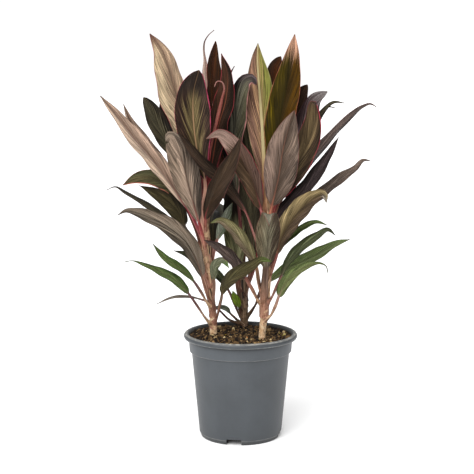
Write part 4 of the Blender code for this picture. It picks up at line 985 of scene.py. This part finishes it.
def arc(centre, radius, start, end, steps):
    """Points on an arc in the profile's plane, with its angles in degrees."""
    angles = np.radians(np.linspace(start, end, steps + 1))
    return list(zip(centre[0] + radius * np.cos(angles), centre[1] + radius * np.sin(angles)))


def turned(profile, sides):
    """The profile of (radius, height) points, from the axis to the axis, turned round Z. Its two ends become
    one point each."""
    angle = 2 * math.pi * np.arange(sides) / sides
    radius, height = profile[1:-1, :1], profile[1:-1, 1:]
    rings = np.stack(np.broadcast_arrays(radius * np.cos(angle), radius * np.sin(angle), height), -1)
    points = np.concatenate([rings.reshape(-1, 3), [(0, 0, profile[0, 1]), (0, 0, profile[-1, 1])]])
    return points, grid_faces(len(rings), sides).tolist() + pole_fans(len(rings), sides).tolist()


def inner_wall():
    """The pot's inside from the floor to under the rim, as (radius, height) points."""
    return [
        (WALL_FOOT_RADIUS - WALL - FLOOR_EDGE[0], FLOOR_TOP),
        (WALL_FOOT_RADIUS - WALL, FLOOR_TOP + FLOOR_EDGE[1]),
        (COLLAR_FOOT_RADIUS - STEP - WALL, COLLAR_FOOT_HEIGHT - INNER_STEP[0]),
        (COLLAR_FOOT_RADIUS - WALL, COLLAR_FOOT_HEIGHT + INNER_STEP[1]),
        (COLLAR_TOP_RADIUS - WALL, RIM_HEIGHT - LIP_FOOT),
    ]


def pot_profile():
    """The shell's outline as (radius, height) points, from the underside's middle round to the floor's."""
    outside = [
        (0, 0),
        (PAD_RADIUS, 0),
        (PAD_RADIUS + FOOT_DRAFT, FLOOR_UNDERSIDE),
        (BASE_RADIUS - FOOT_WIDTH - FOOT_DRAFT, FLOOR_UNDERSIDE),
        (BASE_RADIUS - FOOT_WIDTH, 0),
        (BASE_RADIUS, 0),
        (FOOT_CHAMFER_RADIUS, FOOT_CHAMFER_HEIGHT),
        (WALL_FOOT_RADIUS, WALL_FOOT_HEIGHT),
        (COLLAR_FOOT_RADIUS - STEP, COLLAR_FOOT_HEIGHT - STEP_HEIGHT),
        (COLLAR_FOOT_RADIUS, COLLAR_FOOT_HEIGHT),
        (COLLAR_TOP_RADIUS, RIM_HEIGHT - ROLL_FOOT),
        (COLLAR_TOP_RADIUS + GROOVE_DRAFT, RIM_HEIGHT - GROOVE_TOP),
        (RIM_RADIUS - LIP, RIM_HEIGHT - GROOVE_TOP),
        (RIM_RADIUS - LIP, RIM_HEIGHT - ROLL_FOOT),
    ]
    roll = arc((RIM_RADIUS - ROLL_RADIUS, RIM_HEIGHT - ROLL_RADIUS), ROLL_RADIUS, *ROLL_ARC, ROLL_STEPS)
    outer = rounded([*outside, roll[0]], EDGE_ROUND, EDGE_STEPS)
    inner = rounded([roll[-1], *inner_wall()[::-1], (0, FLOOR_TOP)], EDGE_ROUND, EDGE_STEPS)
    return np.concatenate([outer[:-1], roll[:-1], inner])


def notch_cutter(angle):
    """A block across the base's edge at this angle, its corners rounded, to be cut from the pot."""
    half, low, high = NOTCH_WIDTH / 2, -CUTTER_EXCESS, NOTCH_HEIGHT
    corners = [(0, low), (-half, low), (-half, high), (half, high), (half, low), (0, low)]
    outline = rounded(corners, NOTCH_ROUND, NOTCH_STEPS)[-2:0:-1]
    ends = BASE_RADIUS - NOTCH_REACH, WALL_FOOT_RADIUS + CUTTER_EXCESS
    points = np.concatenate([np.column_stack([np.full(len(outline), along), outline]) for along in ends])
    turn = np.array(
        [[math.cos(angle), math.sin(angle), 0], [-math.sin(angle), math.cos(angle), 0], [0, 0, 1]]
    )
    faces = grid_faces(2, len(outline)).tolist() + ring_caps(2, len(outline))
    return bpy.data.objects.new("notch", new_mesh("notch", points @ turn, faces))


def cut(piece, cutters):
    """Takes the cutters away from the piece with one Boolean, and keeps the result as its mesh."""
    group = bpy.data.collections.new("cutters")
    bpy.context.scene.collection.children.link(group)
    for cutter in cutters:
        group.objects.link(cutter)
    modifier = piece.modifiers.new("Notches", "BOOLEAN")
    modifier.operand_type = "COLLECTION"
    modifier.collection = group
    graph = bpy.context.evaluated_depsgraph_get()
    mesh = bpy.data.meshes.new_from_object(piece.evaluated_get(graph))
    piece.modifiers.clear()
    piece.data = mesh
    for cutter in cutters:
        bpy.data.objects.remove(cutter, do_unlink=True)
    bpy.data.collections.remove(group)


def soil_height(x, y):
    """The soil's top: low mounds from three crossed waves, value noise of three sizes on them, and a smooth
    rise towards the pot's wall."""
    wave = sum(np.sin(across * x + along * y + phase) for across, along, phase in SOIL_WAVES)
    relief = sum(height * patches(x, y, cell, SOIL_SEED + i) for i, (cell, height) in enumerate(SOIL_RELIEF))
    start, end, rise = SOIL_RISE
    edge = rise * smooth((np.hypot(x, y) - start) / (end - start))
    return SOIL_TOP + SOIL_BUMP * wave / len(SOIL_WAVES) + relief + edge


def soil_surface():
    """A closed body turned round Z: the flat underside, the side a gap inside the pot's wall, and the top,
    whose heights come from soil_height."""
    wall = [(radius - SOIL_GAP, max(height, FLOOR_TOP + SOIL_GAP)) for radius, height in inner_wall()[:-1]]
    (low_r, low_z), (high_r, high_z) = inner_wall()[-2:]
    rim = SOIL_TOP - SOIL_BUMP
    edge = low_r + (high_r - low_r) * (rim - low_z) / (high_z - low_z) - SOIL_GAP
    rings = [(edge * math.sqrt(1 - i / SOIL_RINGS), rim) for i in range(SOIL_RINGS)]
    profile = np.array([(0, FLOOR_TOP + SOIL_GAP), *wall, *rings, (0, rim)])
    points, faces = turned(profile, SOIL_SIDES)
    top = points[:, 2] >= rim - SOIL_GAP / 2
    points[top, 2] = soil_height(points[top, 0], points[top, 1])
    return points, faces


def lumps(places, sizes, seed):
    """Small closed bodies of three rings of six corners between two poles: balls on a grid of angles, each
    stretched by its own three sizes, made uneven by a random factor at each point, and turned at random."""
    chance = np.random.default_rng(seed)
    count = len(places)
    lift = math.pi * (np.arange(LUMP_RINGS)[:, None] + 1) / (LUMP_RINGS + 1) - math.pi / 2
    angle = 2 * math.pi * np.arange(LUMP_SIDES) / LUMP_SIDES
    ball = np.stack(
        np.broadcast_arrays(np.cos(lift) * np.cos(angle), np.cos(lift) * np.sin(angle), np.sin(lift)), -1
    )
    ball = np.concatenate([ball.reshape(-1, 3), [(0, 0, -1), (0, 0, 1)]])
    shape = ball[None] * chance.uniform(*LUMP_UNEVENNESS, (count, len(ball), 1)) * sizes[:, None]
    turn, tilt = chance.uniform(0, 2 * math.pi, count), chance.normal(0, LUMP_TILT, count)
    c, s, ct, st = np.cos(turn), np.sin(turn), np.cos(tilt), np.sin(tilt)
    matrix = np.stack(
        [c * ct, -s, c * st, s * ct, c, s * st, -st, np.zeros_like(c), ct], -1
    ).reshape(-1, 3, 3)
    points = np.einsum("nij,nkj->nki", matrix, shape) + places[:, None]
    parts = grid_faces(LUMP_RINGS, LUMP_SIDES), pole_fans(LUMP_RINGS, LUMP_SIDES)
    return points, [face for part in parts for face in copies_of(part, count, len(ball)).tolist()]


def scattered(count, reach, seed):
    """Places spread evenly over a disc of this radius."""
    chance = np.random.default_rng(seed)
    radius, angle = reach * np.sqrt(chance.uniform(0, 1, count)), chance.uniform(0, 2 * math.pi, count)
    return radius * np.cos(angle), radius * np.sin(angle)


def litter_tones(shade):
    """Colours from near black through brown to straw, for shades from 0 to 1."""
    ramp = np.array([tone(colour) for colour in LITTER_RAMP])
    return between_stops(shade, np.linspace(0, 1, len(ramp)), ramp)


def litter_piece(name, places, sizes, tones, seed, finish):
    """Lumps of these sizes and tones at these places, in one mesh."""
    points, faces = lumps(places, sizes, seed)
    piece = new_piece(name, points.reshape(-1, 3), faces, finish)
    tones = np.concatenate([tones, np.ones((len(tones), 1))], 1)
    set_attribute(piece, "litter_tone", "FLOAT_COLOR", np.repeat(tones, points.shape[1], 0))
    return piece


def foliage_finish(settings):
    """Two tones either side of a midrib. Streaks, threads and thin dark lines run from it towards the margin
    and the tip; pale gleams and scorched patches lie between them, and it darkens towards the margin. The
    margin, the tip and the stalk have colours of their own, and so has the unseen side."""
    f = Finish("foliage", 0.1)
    across, blade, tint = f.parts(f.attribute("leaf_share"))
    spread = abs(across)
    from_rib, along, from_edge = f.parts(f.attribute("leaf_length"))
    rib_mark, streak_mark, left_margin = f.parts(f.attribute("leaf_marks", "Color"))
    right_margin = f.attribute("leaf_marks", "Alpha")
    seen = f.attribute("seen_side", "Fac")
    tones = {field: f.attribute("tone_" + field, "Color") for field in TONES}
    distance = abs(from_rib)

    # What the pattern is made of: noise drawn out along the veins, which run from the midrib towards the tip
    wander = f.noise(f.vector(from_rib, along, tint), 40)
    course = blade - spread * 0.6 + spread * spread * 0.12 + wander * 0.05
    side = f.step(across, -0.02, 0.02)
    lane = tint * 20 + side * 5
    bands = f.grain(course * 13, spread * 0.7, lane, 3, 0.6)
    threads = f.grain(course * 45, spread * 1.2, lane, 2, 0.6)
    fine = f.grain(course * 120, spread * 2, lane)
    veins = f.maths("SINE", course * (2 * math.pi * settings.veins))
    lines = f.fall(abs(f.grain(course * 24, spread * 0.6, lane + 7) - 0.5), 0.0, 0.035)
    gleam = f.step(f.grain(course * 6, spread * 1.6, lane + 3, 3, 0.6), 0.5, 0.72)
    scorch = f.step(f.grain(course * 9, spread * 3, lane + 11, 3, 0.65) + spread * 0.12, 0.6, 0.76)

    # The blade
    colour = f.mix(side, tones["left"], tones["right"])
    streak = f.step(bands * 0.45 + threads * 0.55 + f.fall(spread, 0.0, 0.8) * 0.22 - 0.03, 0.5, 0.7)
    colour = f.mix(streak * streak_mark * settings.streaks, colour, tones["streak"])
    behind = f.mix(f.step(bands, 0.45, 0.8) * 0.4, tones["behind"], tones["streak"])
    colour = f.mix(seen, behind, colour)
    tip_from = f.attribute("tone_tip", "Alpha")
    colour = f.mix(f.step(blade + (threads - 0.5) * 0.35, tip_from, tip_from + 0.14), colour, tones["tip"])
    glint = f.step(threads * 0.6 + fine * 0.4, 0.55, 0.66)
    colour = f.shade(colour, 1.0 + gleam * 0.7 + glint * 0.45)
    colour = f.shade(colour, 1 - scorch * 0.56)
    colour = f.shade(colour, 1.02 + (threads - 0.5) * 2.8 + (fine - 0.5) * 2.2 + veins * 0.06)
    colour = f.shade(colour, 1 - lines * 0.55)
    colour = f.shade(colour, 1 - f.step(spread, 0.6, 1.0) * 0.25)

    # The midrib, which takes the stalk's colour near its foot, and the shadow beside it
    rib_width = (1.2 * MM - blade * (0.9 * MM)) * (0.5 + rib_mark * 0.5)
    rib = f.fall(distance, rib_width, rib_width + 0.5 * MM)
    low = f.fall(blade, 0.0, 0.3)
    rib_tone = f.mix(low, tones["rib"], tones["stalk"])
    rib_strength = f.maths("MAXIMUM", rib_mark * (1 - f.step(blade, 0.6, 0.85) * 0.7), low * 0.7)
    beside = f.fall(distance, rib_width + 0.6 * MM, rib_width + 3 * MM)
    colour = f.shade(colour, 1 - beside * 0.25 * f.step(blade, 0.05, 0.2))
    colour = f.mix(rib * rib_strength, colour, rib_tone)

    # The margin, which comes and goes
    margin = left_margin + (right_margin - left_margin) * side
    patchy = f.noise(f.vector(along, side, tint), 40, 3)
    rim_width = (patchy - 0.25) * (1.8 * MM * settings.margin) * margin
    rim = f.fall(from_edge, rim_width, rim_width + 0.4 * MM)
    rim_strength = f.step(blade, 0.01, 0.06) * (0.35 + f.step(patchy, 0.35, 0.6) * 0.45)
    colour = f.mix(rim * rim_strength, colour, tones["margin"])

    # The stalk, with the pale sheath that wraps the cane
    fibre = f.grain(from_rib * 900, along * 25, tint * 9, 3, 0.6)
    blotch = f.grain(from_rib * 200, along * 140, tint * 9, 3, 0.6)
    sheath = f.mix(f.step(tint, 0.35, 0.75), paint("sheath_pale"), paint("sheath_brown"))
    sheath = f.mix(f.step(blotch, 0.5, 0.62) * 0.75, sheath, paint("sheath_blotch"))
    # Painted shade: the cane's factor darkens its leaves' sheaths
    sheath = f.shade(sheath, f.attribute("cane_shade", "Fac") * (1 - f.step(spread, 0.7, 0.95) * 0.4))
    stalk_tone = f.mix(f.step(along, 12 * MM, 60 * MM), sheath, tones["stalk"])
    stalk_tone = f.shade(stalk_tone, 1.12 + (fibre - 0.5) * 3)
    stalk_tone = f.mix(f.step(fibre, 0.56, 0.66) * 0.4, stalk_tone, paint("stalk_fibre"))
    colour = f.mix(f.fall(blade, 0.0, 0.045), colour, stalk_tone)
    colour = f.mix(f.step(blade, 0.98, 1.0) * 0.6, colour, paint("leaf_end"))

    relief = veins * 0.3 + threads * 1.6 + fine * 0.8 - lines * 0.6 + f.noise(f.place(), 900) * 0.2
    f.bump(relief, settings.vein_depth, 1 * MM)
    return f.surface(base_color=colour, roughness=0.36 + bands * 0.16 + fine * 0.08 - gleam * 0.1)


def cane_finish():
    """Tan bark with a dark line at each leaf scar on the bare foot. Above it each strand has its own tone,
    from reddish to tan and brown, which changes along the cane, with painted shade between the strands."""
    f = Finish("cane_bark", 0.3)
    between = f.attribute("scar", "Fac")
    strand, furrow, wrapped = f.parts(f.attribute("strand"))
    place = f.place()
    x, y, z = f.parts(place)
    grain = f.grain(x * 900, y * 900, z * 160, 3)
    fibre = f.grain(x * 1100, y * 1100, z * 40, 3)
    blotch = f.grain(x * 500, y * 500, z * 260, 3, 0.6)
    bark = f.mix(f.step(f.noise(place, 90, 3), 0.4, 0.65), paint("bark_pale"), paint("bark_tan"))
    bark = f.mix(f.step(blotch, 0.52, 0.64) * 0.5, bark, paint("bark_blotch"))
    scar = f.step(between, 0.82, 0.98) + f.fall(between, 0.0, 0.1)
    bark = f.mix(scar * 0.85, bark, paint("bark_scar"))
    own = f.grain(strand * 7.3, z * 16, 0.5, 1)
    skin = f.mix(f.step(own, 0.3, 0.45), paint("strand_brown"), paint("strand_tan"))
    skin = f.mix(f.step(own, 0.5, 0.6), skin, paint("strand_red"))
    skin = f.mix(f.step(fibre, 0.5, 0.68) * 0.6, skin, paint("strand_fibre"))
    # Painted shade: the furrows between the strands are made near black
    skin = f.mix(f.step(furrow, 0.12, 0.6) * 0.92, skin, paint("strand_gap"))
    # Painted shade: the cane's factor darkens its bark
    colour = f.shade(f.mix(wrapped, bark, skin), (0.4 + grain * 1.2) * f.attribute("cane_shade", "Fac"))
    f.bump(grain + fibre + scar * (1 - wrapped) * 0.8, 0.5, 0.5 * MM)
    return f.surface(base_color=colour, roughness=0.5 + grain * 0.25)


def pot_finish(settings):
    """Moulded grey plastic: a fine grain, faint upright flow marks and cloudy patches. The rim's upper edge
    is pale with wear, scuffs and a painted highlight; painted shade darkens the inside; a thin painted
    highlight line runs where the collar ends and at the wall's foot."""
    f = Finish("pot_plastic", 0.4)
    place = f.place()
    x, y, z = f.parts(place)
    around = f.maths("ARCTAN2", y, x)
    radius = f.maths("SQRT", x * x + y * y)
    cloud = f.noise(place, 18, 4, 0.6)
    flow = f.grain(x * 60, y * 60, z * 5, 3)
    grain = f.noise(place, 1500)
    speck = f.noise(place, 260, 2, 0.7)
    scuff = f.grain(around * 9, radius * 300, z * 300, 4, 0.65)
    colour = f.mix(f.step(cloud, 0.3, 0.7), times(settings.plastic, 0.88), times(settings.plastic, 1.1))
    colour = f.shade(colour, 0.92 + flow * 0.12 + (speck - 0.5) * 0.08)
    # Painted light: the plastic is darker towards the bottom and lighter towards the top
    colour = f.shade(colour, 0.95 + f.step(z, -20 * MM, 140 * MM) * 0.1)

    # The rim: painted shadow under the roll, a painted highlight on the collar, painted shade on the roll, a
    # painted highlight along the roll's lower edge, and wear with a painted highlight on its upper edge
    roll_foot, collar_top, lip = RIM_HEIGHT - ROLL_FOOT, COLLAR_TOP_RADIUS, RIM_RADIUS - LIP
    under = f.step(z, roll_foot - 6 * MM, roll_foot) * f.fall(z, roll_foot + 0.5 * MM, roll_foot + 2.5 * MM)
    # Painted highlight: the collar is lightened
    collar = f.step(z, COLLAR_FOOT_HEIGHT - 0.4 * MM, COLLAR_FOOT_HEIGHT + 0.6 * MM)
    collar *= f.fall(z, roll_foot - 3 * MM, roll_foot) * f.fall(
        radius, collar_top + 0.6 * MM, collar_top + 1.6 * MM
    )
    colour = f.shade(colour, 1 - under * 0.5 + collar * 0.2)
    # Painted shade: the roll is darkened, patchy with the scuff noise
    roll = f.step(z, roll_foot, roll_foot + 0.5 * MM) * f.step(
        radius, collar_top + 1.6 * MM, collar_top + 4.1 * MM
    )
    colour = f.shade(colour, 1 - roll * (0.08 + f.step(scuff, 0.4, 0.6) * 0.15))
    # Painted highlight: a thin pale line along the roll's lower edge, patchy with the scuffs
    crease = f.fall(abs(z - (roll_foot + 1.2 * MM)), 0.4 * MM, 0.9 * MM) * f.step(radius, lip, lip + 2 * MM)
    colour = f.mix(crease * (0.3 + f.step(scuff, 0.45, 0.65) * 0.5), colour, paint("rim_crease"))
    # Wear and a painted highlight make the roll's upper edge pale
    wear_and_highlight = f.step(z, RIM_HEIGHT - 2.4 * MM, RIM_HEIGHT - 0.6 * MM)
    wear_and_highlight *= f.step(radius, collar_top + 0.6 * MM, collar_top + 2.6 * MM)
    colour = f.mix(wear_and_highlight * (0.35 + f.step(scuff, 0.45, 0.65) * 0.6), colour, paint("rim_worn"))

    # Painted shade on the inside, painted highlight lines along the collar's and the wall's feet, and dust
    # and painted shade low on the outside
    outer = z * WALL_SLOPE + (WALL_FOOT_RADIUS - WALL_FOOT_HEIGHT * WALL_SLOPE)
    outer += f.step(z, COLLAR_FOOT_HEIGHT - 1.4 * MM, COLLAR_FOOT_HEIGHT) * STEP
    # Painted shade: the inside of the wall is darkened
    inside = f.fall(radius - outer, -1.3 * MM, -0.6 * MM) * f.step(
        z, FLOOR_TOP + 0.4 * MM, FLOOR_TOP + 5.4 * MM
    )
    colour = f.mix(inside * 0.9, colour, paint("pot_inside"))
    # Painted highlights: thin pale lines at the collar's foot and the wall's foot, patchy with the scuffs
    for height, width in ((COLLAR_FOOT_HEIGHT, 0.9 * MM), (WALL_FOOT_HEIGHT, 0.8 * MM)):
        line = f.fall(abs(z - height), width * 0.4, width)
        colour = f.mix(line * (0.25 + f.step(scuff, 0.4, 0.7) * 0.4), colour, paint("pot_line"))
    # Painted shade darkens a band below the wall's foot, and dust lies in cloudy patches low on the outside
    foot = f.fall(z, 3.5 * MM, 6.2 * MM) * 0.35 + f.fall(z, 2 * MM, 30 * MM) * f.step(cloud, 0.4, 0.7) * 0.2
    colour = f.mix(foot, colour, paint("pot_dust"))
    f.bump(grain * 0.5 + flow * 0.6, 0.25, 0.6 * MM)
    return f.surface(base_color=colour, roughness=settings.gloss + cloud * 0.12 + wear_and_highlight * 0.2)


def soil_finish():
    """Dark peat: brown clods of several sizes, pale fibres and pits that stay dark. Painted shade makes it
    darker low in the pot."""
    f = Finish("peat", 0.2)
    place = f.place()
    clod = f.noise(place, 160, 4, 0.65)
    crumb = f.noise(place, 700, 3, 0.6)
    colour = f.mix(f.step(clod, 0.4, 0.65), paint("peat"), paint("peat_brown"))
    colour = f.mix(f.step(crumb, 0.56, 0.7) * 0.7, colour, paint("peat_fibre"))
    # Painted shade: darker towards the bottom of the pot
    low_painted_shade = f.fall(f.parts(place)[2], 20 * MM, 100 * MM)
    colour = f.shade(colour, 1 - low_painted_shade * 0.85)
    f.bump(clod + crumb * 0.6, 0.9, 2 * MM)
    return f.surface(base_color=colour, roughness=0.8 + crumb * 0.2)


def litter_finish():
    """Crumbs and bark chips: each has its own tone, with a grain over it."""
    f = Finish("soil_litter", 0.2)
    grain = f.noise(f.place(), 900, 3, 0.6)
    f.bump(grain, 0.7, 1.2 * MM)
    colour = f.shade(f.attribute("litter_tone", "Color"), 0.5 + grain)
    return f.surface(base_color=colour, roughness=0.75 + grain * 0.2)


def floor_finish():
    """Matt white paper with a barely seen grain."""
    f = Finish("studio_floor", 0.1)
    grain = f.noise(f.place(), 6)
    return f.surface(
        base_color=f.mix(grain, (0.96, 0.96, 0.96), (1.0, 1.0, 1.0)), roughness=0.8 + grain * 0.1
    )


class FoliageSettings(bpy.types.PropertyGroup):
    """What can be set about the leaves"""

    veins: IntProperty(
        name="Veins", description="How many fine veins leave each side of a midrib", default=56,
        min=1, max=200)
    vein_depth: FloatProperty(
        name="Vein depth", description="Strength of the veins' relief", default=0.6, min=0, max=1,
        subtype="FACTOR")
    streaks: FloatProperty(
        name="Streaks", description="Strength of the coloured streaks", default=0.8, min=0, max=1,
        subtype="FACTOR")
    margin: FloatProperty(
        name="Margin", description="Width of the coloured margin, as a factor", default=1.0, min=0, max=3)
    seed: IntProperty(name="Seed", description="Start of the leaves' random numbers", default=11, min=0)


class PotSettings(bpy.types.PropertyGroup):
    """What can be set about the pot"""

    plastic: FloatVectorProperty(
        name="Plastic", description="Colour of the pot", default=paint("plastic"), min=0, max=1,
        subtype="COLOR")
    gloss: FloatProperty(
        name="Roughness", description="Lowest roughness of the plastic", default=0.42, min=0, max=1,
        subtype="FACTOR")


class SoilSettings(bpy.types.PropertyGroup):
    """What can be set about the litter on the soil"""

    crumbs: IntProperty(
        name="Crumbs", description="How many crumbs lie on the soil", default=1100, min=1, max=2000)
    chips: IntProperty(
        name="Chips", description="How many bark chips lie on the soil", default=170, min=1, max=500)


class StageSettings(bpy.types.PropertyGroup):
    """What can be set about the camera and the light"""

    lens: FloatProperty(
        name="Lens", description="Focal length of the camera", default=89.0, min=20, max=300, unit="CAMERA")
    pitch: FloatProperty(
        name="Pitch", description="How far the camera looks down", default=0.135, min=0, max=1.5,
        subtype="ANGLE")
    backdrop: FloatProperty(
        name="Backdrop", description="Brightness of the backdrop", default=1.05, min=0, max=3)
    fill: FloatProperty(
        name="Fill", description="Brightness of the light from the sides", default=0.31, min=0, max=3)
    overhead: FloatProperty(
        name="Overhead", description="Brightness of the light from overhead", default=1.36, min=0, max=3)
    key: FloatProperty(name="Key", description="Strength of the main light", default=3.2, min=0, max=20)
    softness: FloatProperty(
        name="Softness", description="Angle that the main light fills as seen from the plant",
        default=math.radians(50), min=0, max=3.1, subtype="ANGLE")


class DressPot(bpy.types.Operator):
    """Makes the nursery pot: a turned shell with rounded edges, its drainage notches cut"""

    bl_idname = "tiplant.dress_pot"
    bl_label = "Pot"

    def execute(self, context):
        points, faces = turned(pot_profile(), POT_SIDES)
        pot = new_piece("nursery_pot", points, faces, pot_finish(context.scene.tiplant_pot))
        cut(pot, [notch_cutter(FIRST_NOTCH + number * 2 * math.pi / NOTCHES) for number in range(NOTCHES)])
        pot.data.shade_smooth()
        pot.data.set_sharp_from_angle(angle=POT_SHARP)
        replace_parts(pot, "pot")
        return {"FINISHED"}


class DressSoil(bpy.types.Operator):
    """Makes the potting soil, with its crumbs and bark chips"""

    bl_idname = "tiplant.dress_soil"
    bl_label = "Soil"

    def execute(self, context):
        settings = context.scene.tiplant_soil
        points, faces = soil_surface()
        bed = new_piece("potting_soil", points, faces, soil_finish())
        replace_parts(bed, "soil")
        litter = litter_finish()
        chance = np.random.default_rng(LITTER_SEED)
        count = settings.crumbs
        x, y = scattered(count, CRUMB_REACH, LITTER_SEED + 1)
        size = blend(chance.uniform(0, 1, count) ** CRUMB_SIZE_POWER, *CRUMB_SIZES)
        places = np.stack([x, y, soil_height(x, y) + size * CRUMB_LIFT], -1)
        sizes = size[:, None] * chance.uniform(*CRUMB_STRETCH, (count, 3))
        tones = litter_tones(chance.uniform(0, 1, count) ** CRUMB_SHADE_POWER)
        litter_piece("soil_crumbs", places, sizes, tones, LITTER_SEED + 2, litter)
        count, noted = settings.chips, len(NOTED_CHIPS)
        x, y = scattered(count, CHIP_REACH, LITTER_SEED + 3)
        length = chance.uniform(*CHIP_LENGTHS, count)
        tones = litter_tones(blend(chance.uniform(0, 1, count) ** CHIP_SHADE_POWER, *CHIP_SHADES))
        x[:noted], y[:noted], length[:noted] = np.array([chip[:3] for chip in NOTED_CHIPS]).T * MM
        tones[:noted] = [tone(chip[3]) for chip in NOTED_CHIPS]
        sizes = np.stack([length, length * chance.uniform(*CHIP_WIDTHS, count), length * CHIP_THICKNESS], -1)
        places = np.stack([x, y, soil_height(x, y) + CHIP_LIFT], -1)
        litter_piece("bark_chips", places, sizes, tones, LITTER_SEED + 4, litter)
        return {"FINISHED"}


class DressCanes(bpy.types.Operator):
    """Makes the bark of the three canes"""

    bl_idname = "tiplant.dress_canes"
    bl_label = "Canes"

    def execute(self, context):
        finish = cane_finish()
        for number, (name, cane) in enumerate(CANES.items()):
            # The canes' seeds are the numbers from 30 on
            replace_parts(cane_piece("cane_" + name, cane, 30 + number, finish), "leafy_stem_" + name)
        return {"FINISHED"}


class DressLeaves(bpy.types.Operator):
    """Makes every leaf of the three canes, with stalk and sheath"""

    bl_idname = "tiplant.dress_leaves"
    bl_label = "Leaves"

    def execute(self, context):
        settings = context.scene.tiplant_foliage
        finish = foliage_finish(settings)
        for number, (name, leaves) in enumerate(LEAVES.items()):
            seed = settings.seed + SEED_STRIDE * number
            piece = leaves_piece("leaves_" + name, leaves, CANES[name], seed, finish)
            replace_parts(piece, "leafy_stem_" + name)
        return {"FINISHED"}


class DressStage(bpy.types.Operator):
    """Makes the studio: a pale floor, soft lights, a white surround and the camera"""

    bl_idname = "tiplant.dress_stage"
    bl_label = "Studio"

    def execute(self, context):
        settings = context.scene.tiplant_stage
        corners = [(x * FLOOR_REACH, y * FLOOR_REACH, 0) for x, y in ((-1, -1), (1, -1), (1, 1), (-1, 1))]
        floor = new_object("studio_floor", new_mesh("studio_floor", corners, [(0, 1, 2, 3)], floor_finish()))
        make_surround(settings)
        key = new_object("key_light", bpy.data.lights.new("key_light", "SUN"))
        key.data.energy, key.data.angle = settings.key, settings.softness
        key.rotation_euler = KEY_TURN
        camera = new_object("camera", bpy.data.cameras.new("camera"))
        camera.data.lens, camera.data.sensor_width = settings.lens, SENSOR_WIDTH
        camera.location = CAMERA_PLACE
        camera.rotation_euler = (math.pi / 2 - settings.pitch, 0, 0)
        context.scene.camera = camera
        context.scene.view_settings.view_transform = "Standard"
        return {"FINISHED"}


def make_surround(settings):
    """A white surround that lights more from overhead than from the sides. It shows in one even
    brightness."""
    world = bpy.data.worlds.new("surround")
    world.use_nodes = True
    nodes, link = world.node_tree.nodes, world.node_tree.links.new
    heights = nodes.new("ShaderNodeSeparateXYZ")
    light = nodes.new("ShaderNodeMapRange")
    strength = nodes.new("ShaderNodeMix")
    background = nodes["Background"]
    light.inputs["To Min"].default_value = settings.fill
    light.inputs["To Max"].default_value = settings.overhead
    strength.inputs[3].default_value = settings.backdrop
    background.inputs["Color"].default_value = (1, 1, 1, 1)
    link(nodes.new("ShaderNodeTexCoord").outputs["Generated"], heights.inputs[0])
    link(heights.outputs["Z"], light.inputs["Value"])
    link(nodes.new("ShaderNodeLightPath").outputs["Is Camera Ray"], strength.inputs[0])
    link(light.outputs[0], strength.inputs[2])
    link(strength.outputs[0], background.inputs["Strength"])
    bpy.context.scene.world = world


class TiPlantPanel(bpy.types.Panel):
    """Lists the pieces of the plant with their settings"""

    bl_idname = "VIEW3D_PT_tiplant"
    bl_label = "Ti plant"
    bl_space_type = "VIEW_3D"
    bl_region_type = "UI"
    bl_category = "Ti plant"

    def draw(self, context):
        for settings, _, operators in GROUPS:
            box = self.layout.box()
            group = getattr(context.scene, settings)
            for name in group.__annotations__:
                box.prop(group, name)
            for operator in operators:
                box.operator(operator.bl_idname)


GROUPS = [
    ("tiplant_pot", PotSettings, [DressPot]),
    ("tiplant_soil", SoilSettings, [DressSoil]),
    ("tiplant_foliage", FoliageSettings, [DressCanes, DressLeaves]),
    ("tiplant_stage", StageSettings, [DressStage]),
]


def register():
    """Makes the settings, the operators and the panel known to Blender."""
    for name, group, operators in GROUPS:
        bpy.utils.register_class(group)
        setattr(bpy.types.Scene, name, PointerProperty(type=group))
        for operator in operators:
            bpy.utils.register_class(operator)
    bpy.utils.register_class(TiPlantPanel)


def unregister():
    """Takes them away again."""
    bpy.utils.unregister_class(TiPlantPanel)
    for name, group, operators in reversed(GROUPS):
        for operator in operators:
            bpy.utils.unregister_class(operator)
        delattr(bpy.types.Scene, name)
        bpy.utils.unregister_class(group)


def main():
    """Dresses the part."""
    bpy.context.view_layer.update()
    register()
    for _, _, operators in GROUPS:
        for operator in operators:
            family, name = operator.bl_idname.split(".")
            getattr(getattr(bpy.ops, family), name)()


if __name__ == "__main__":
    main()
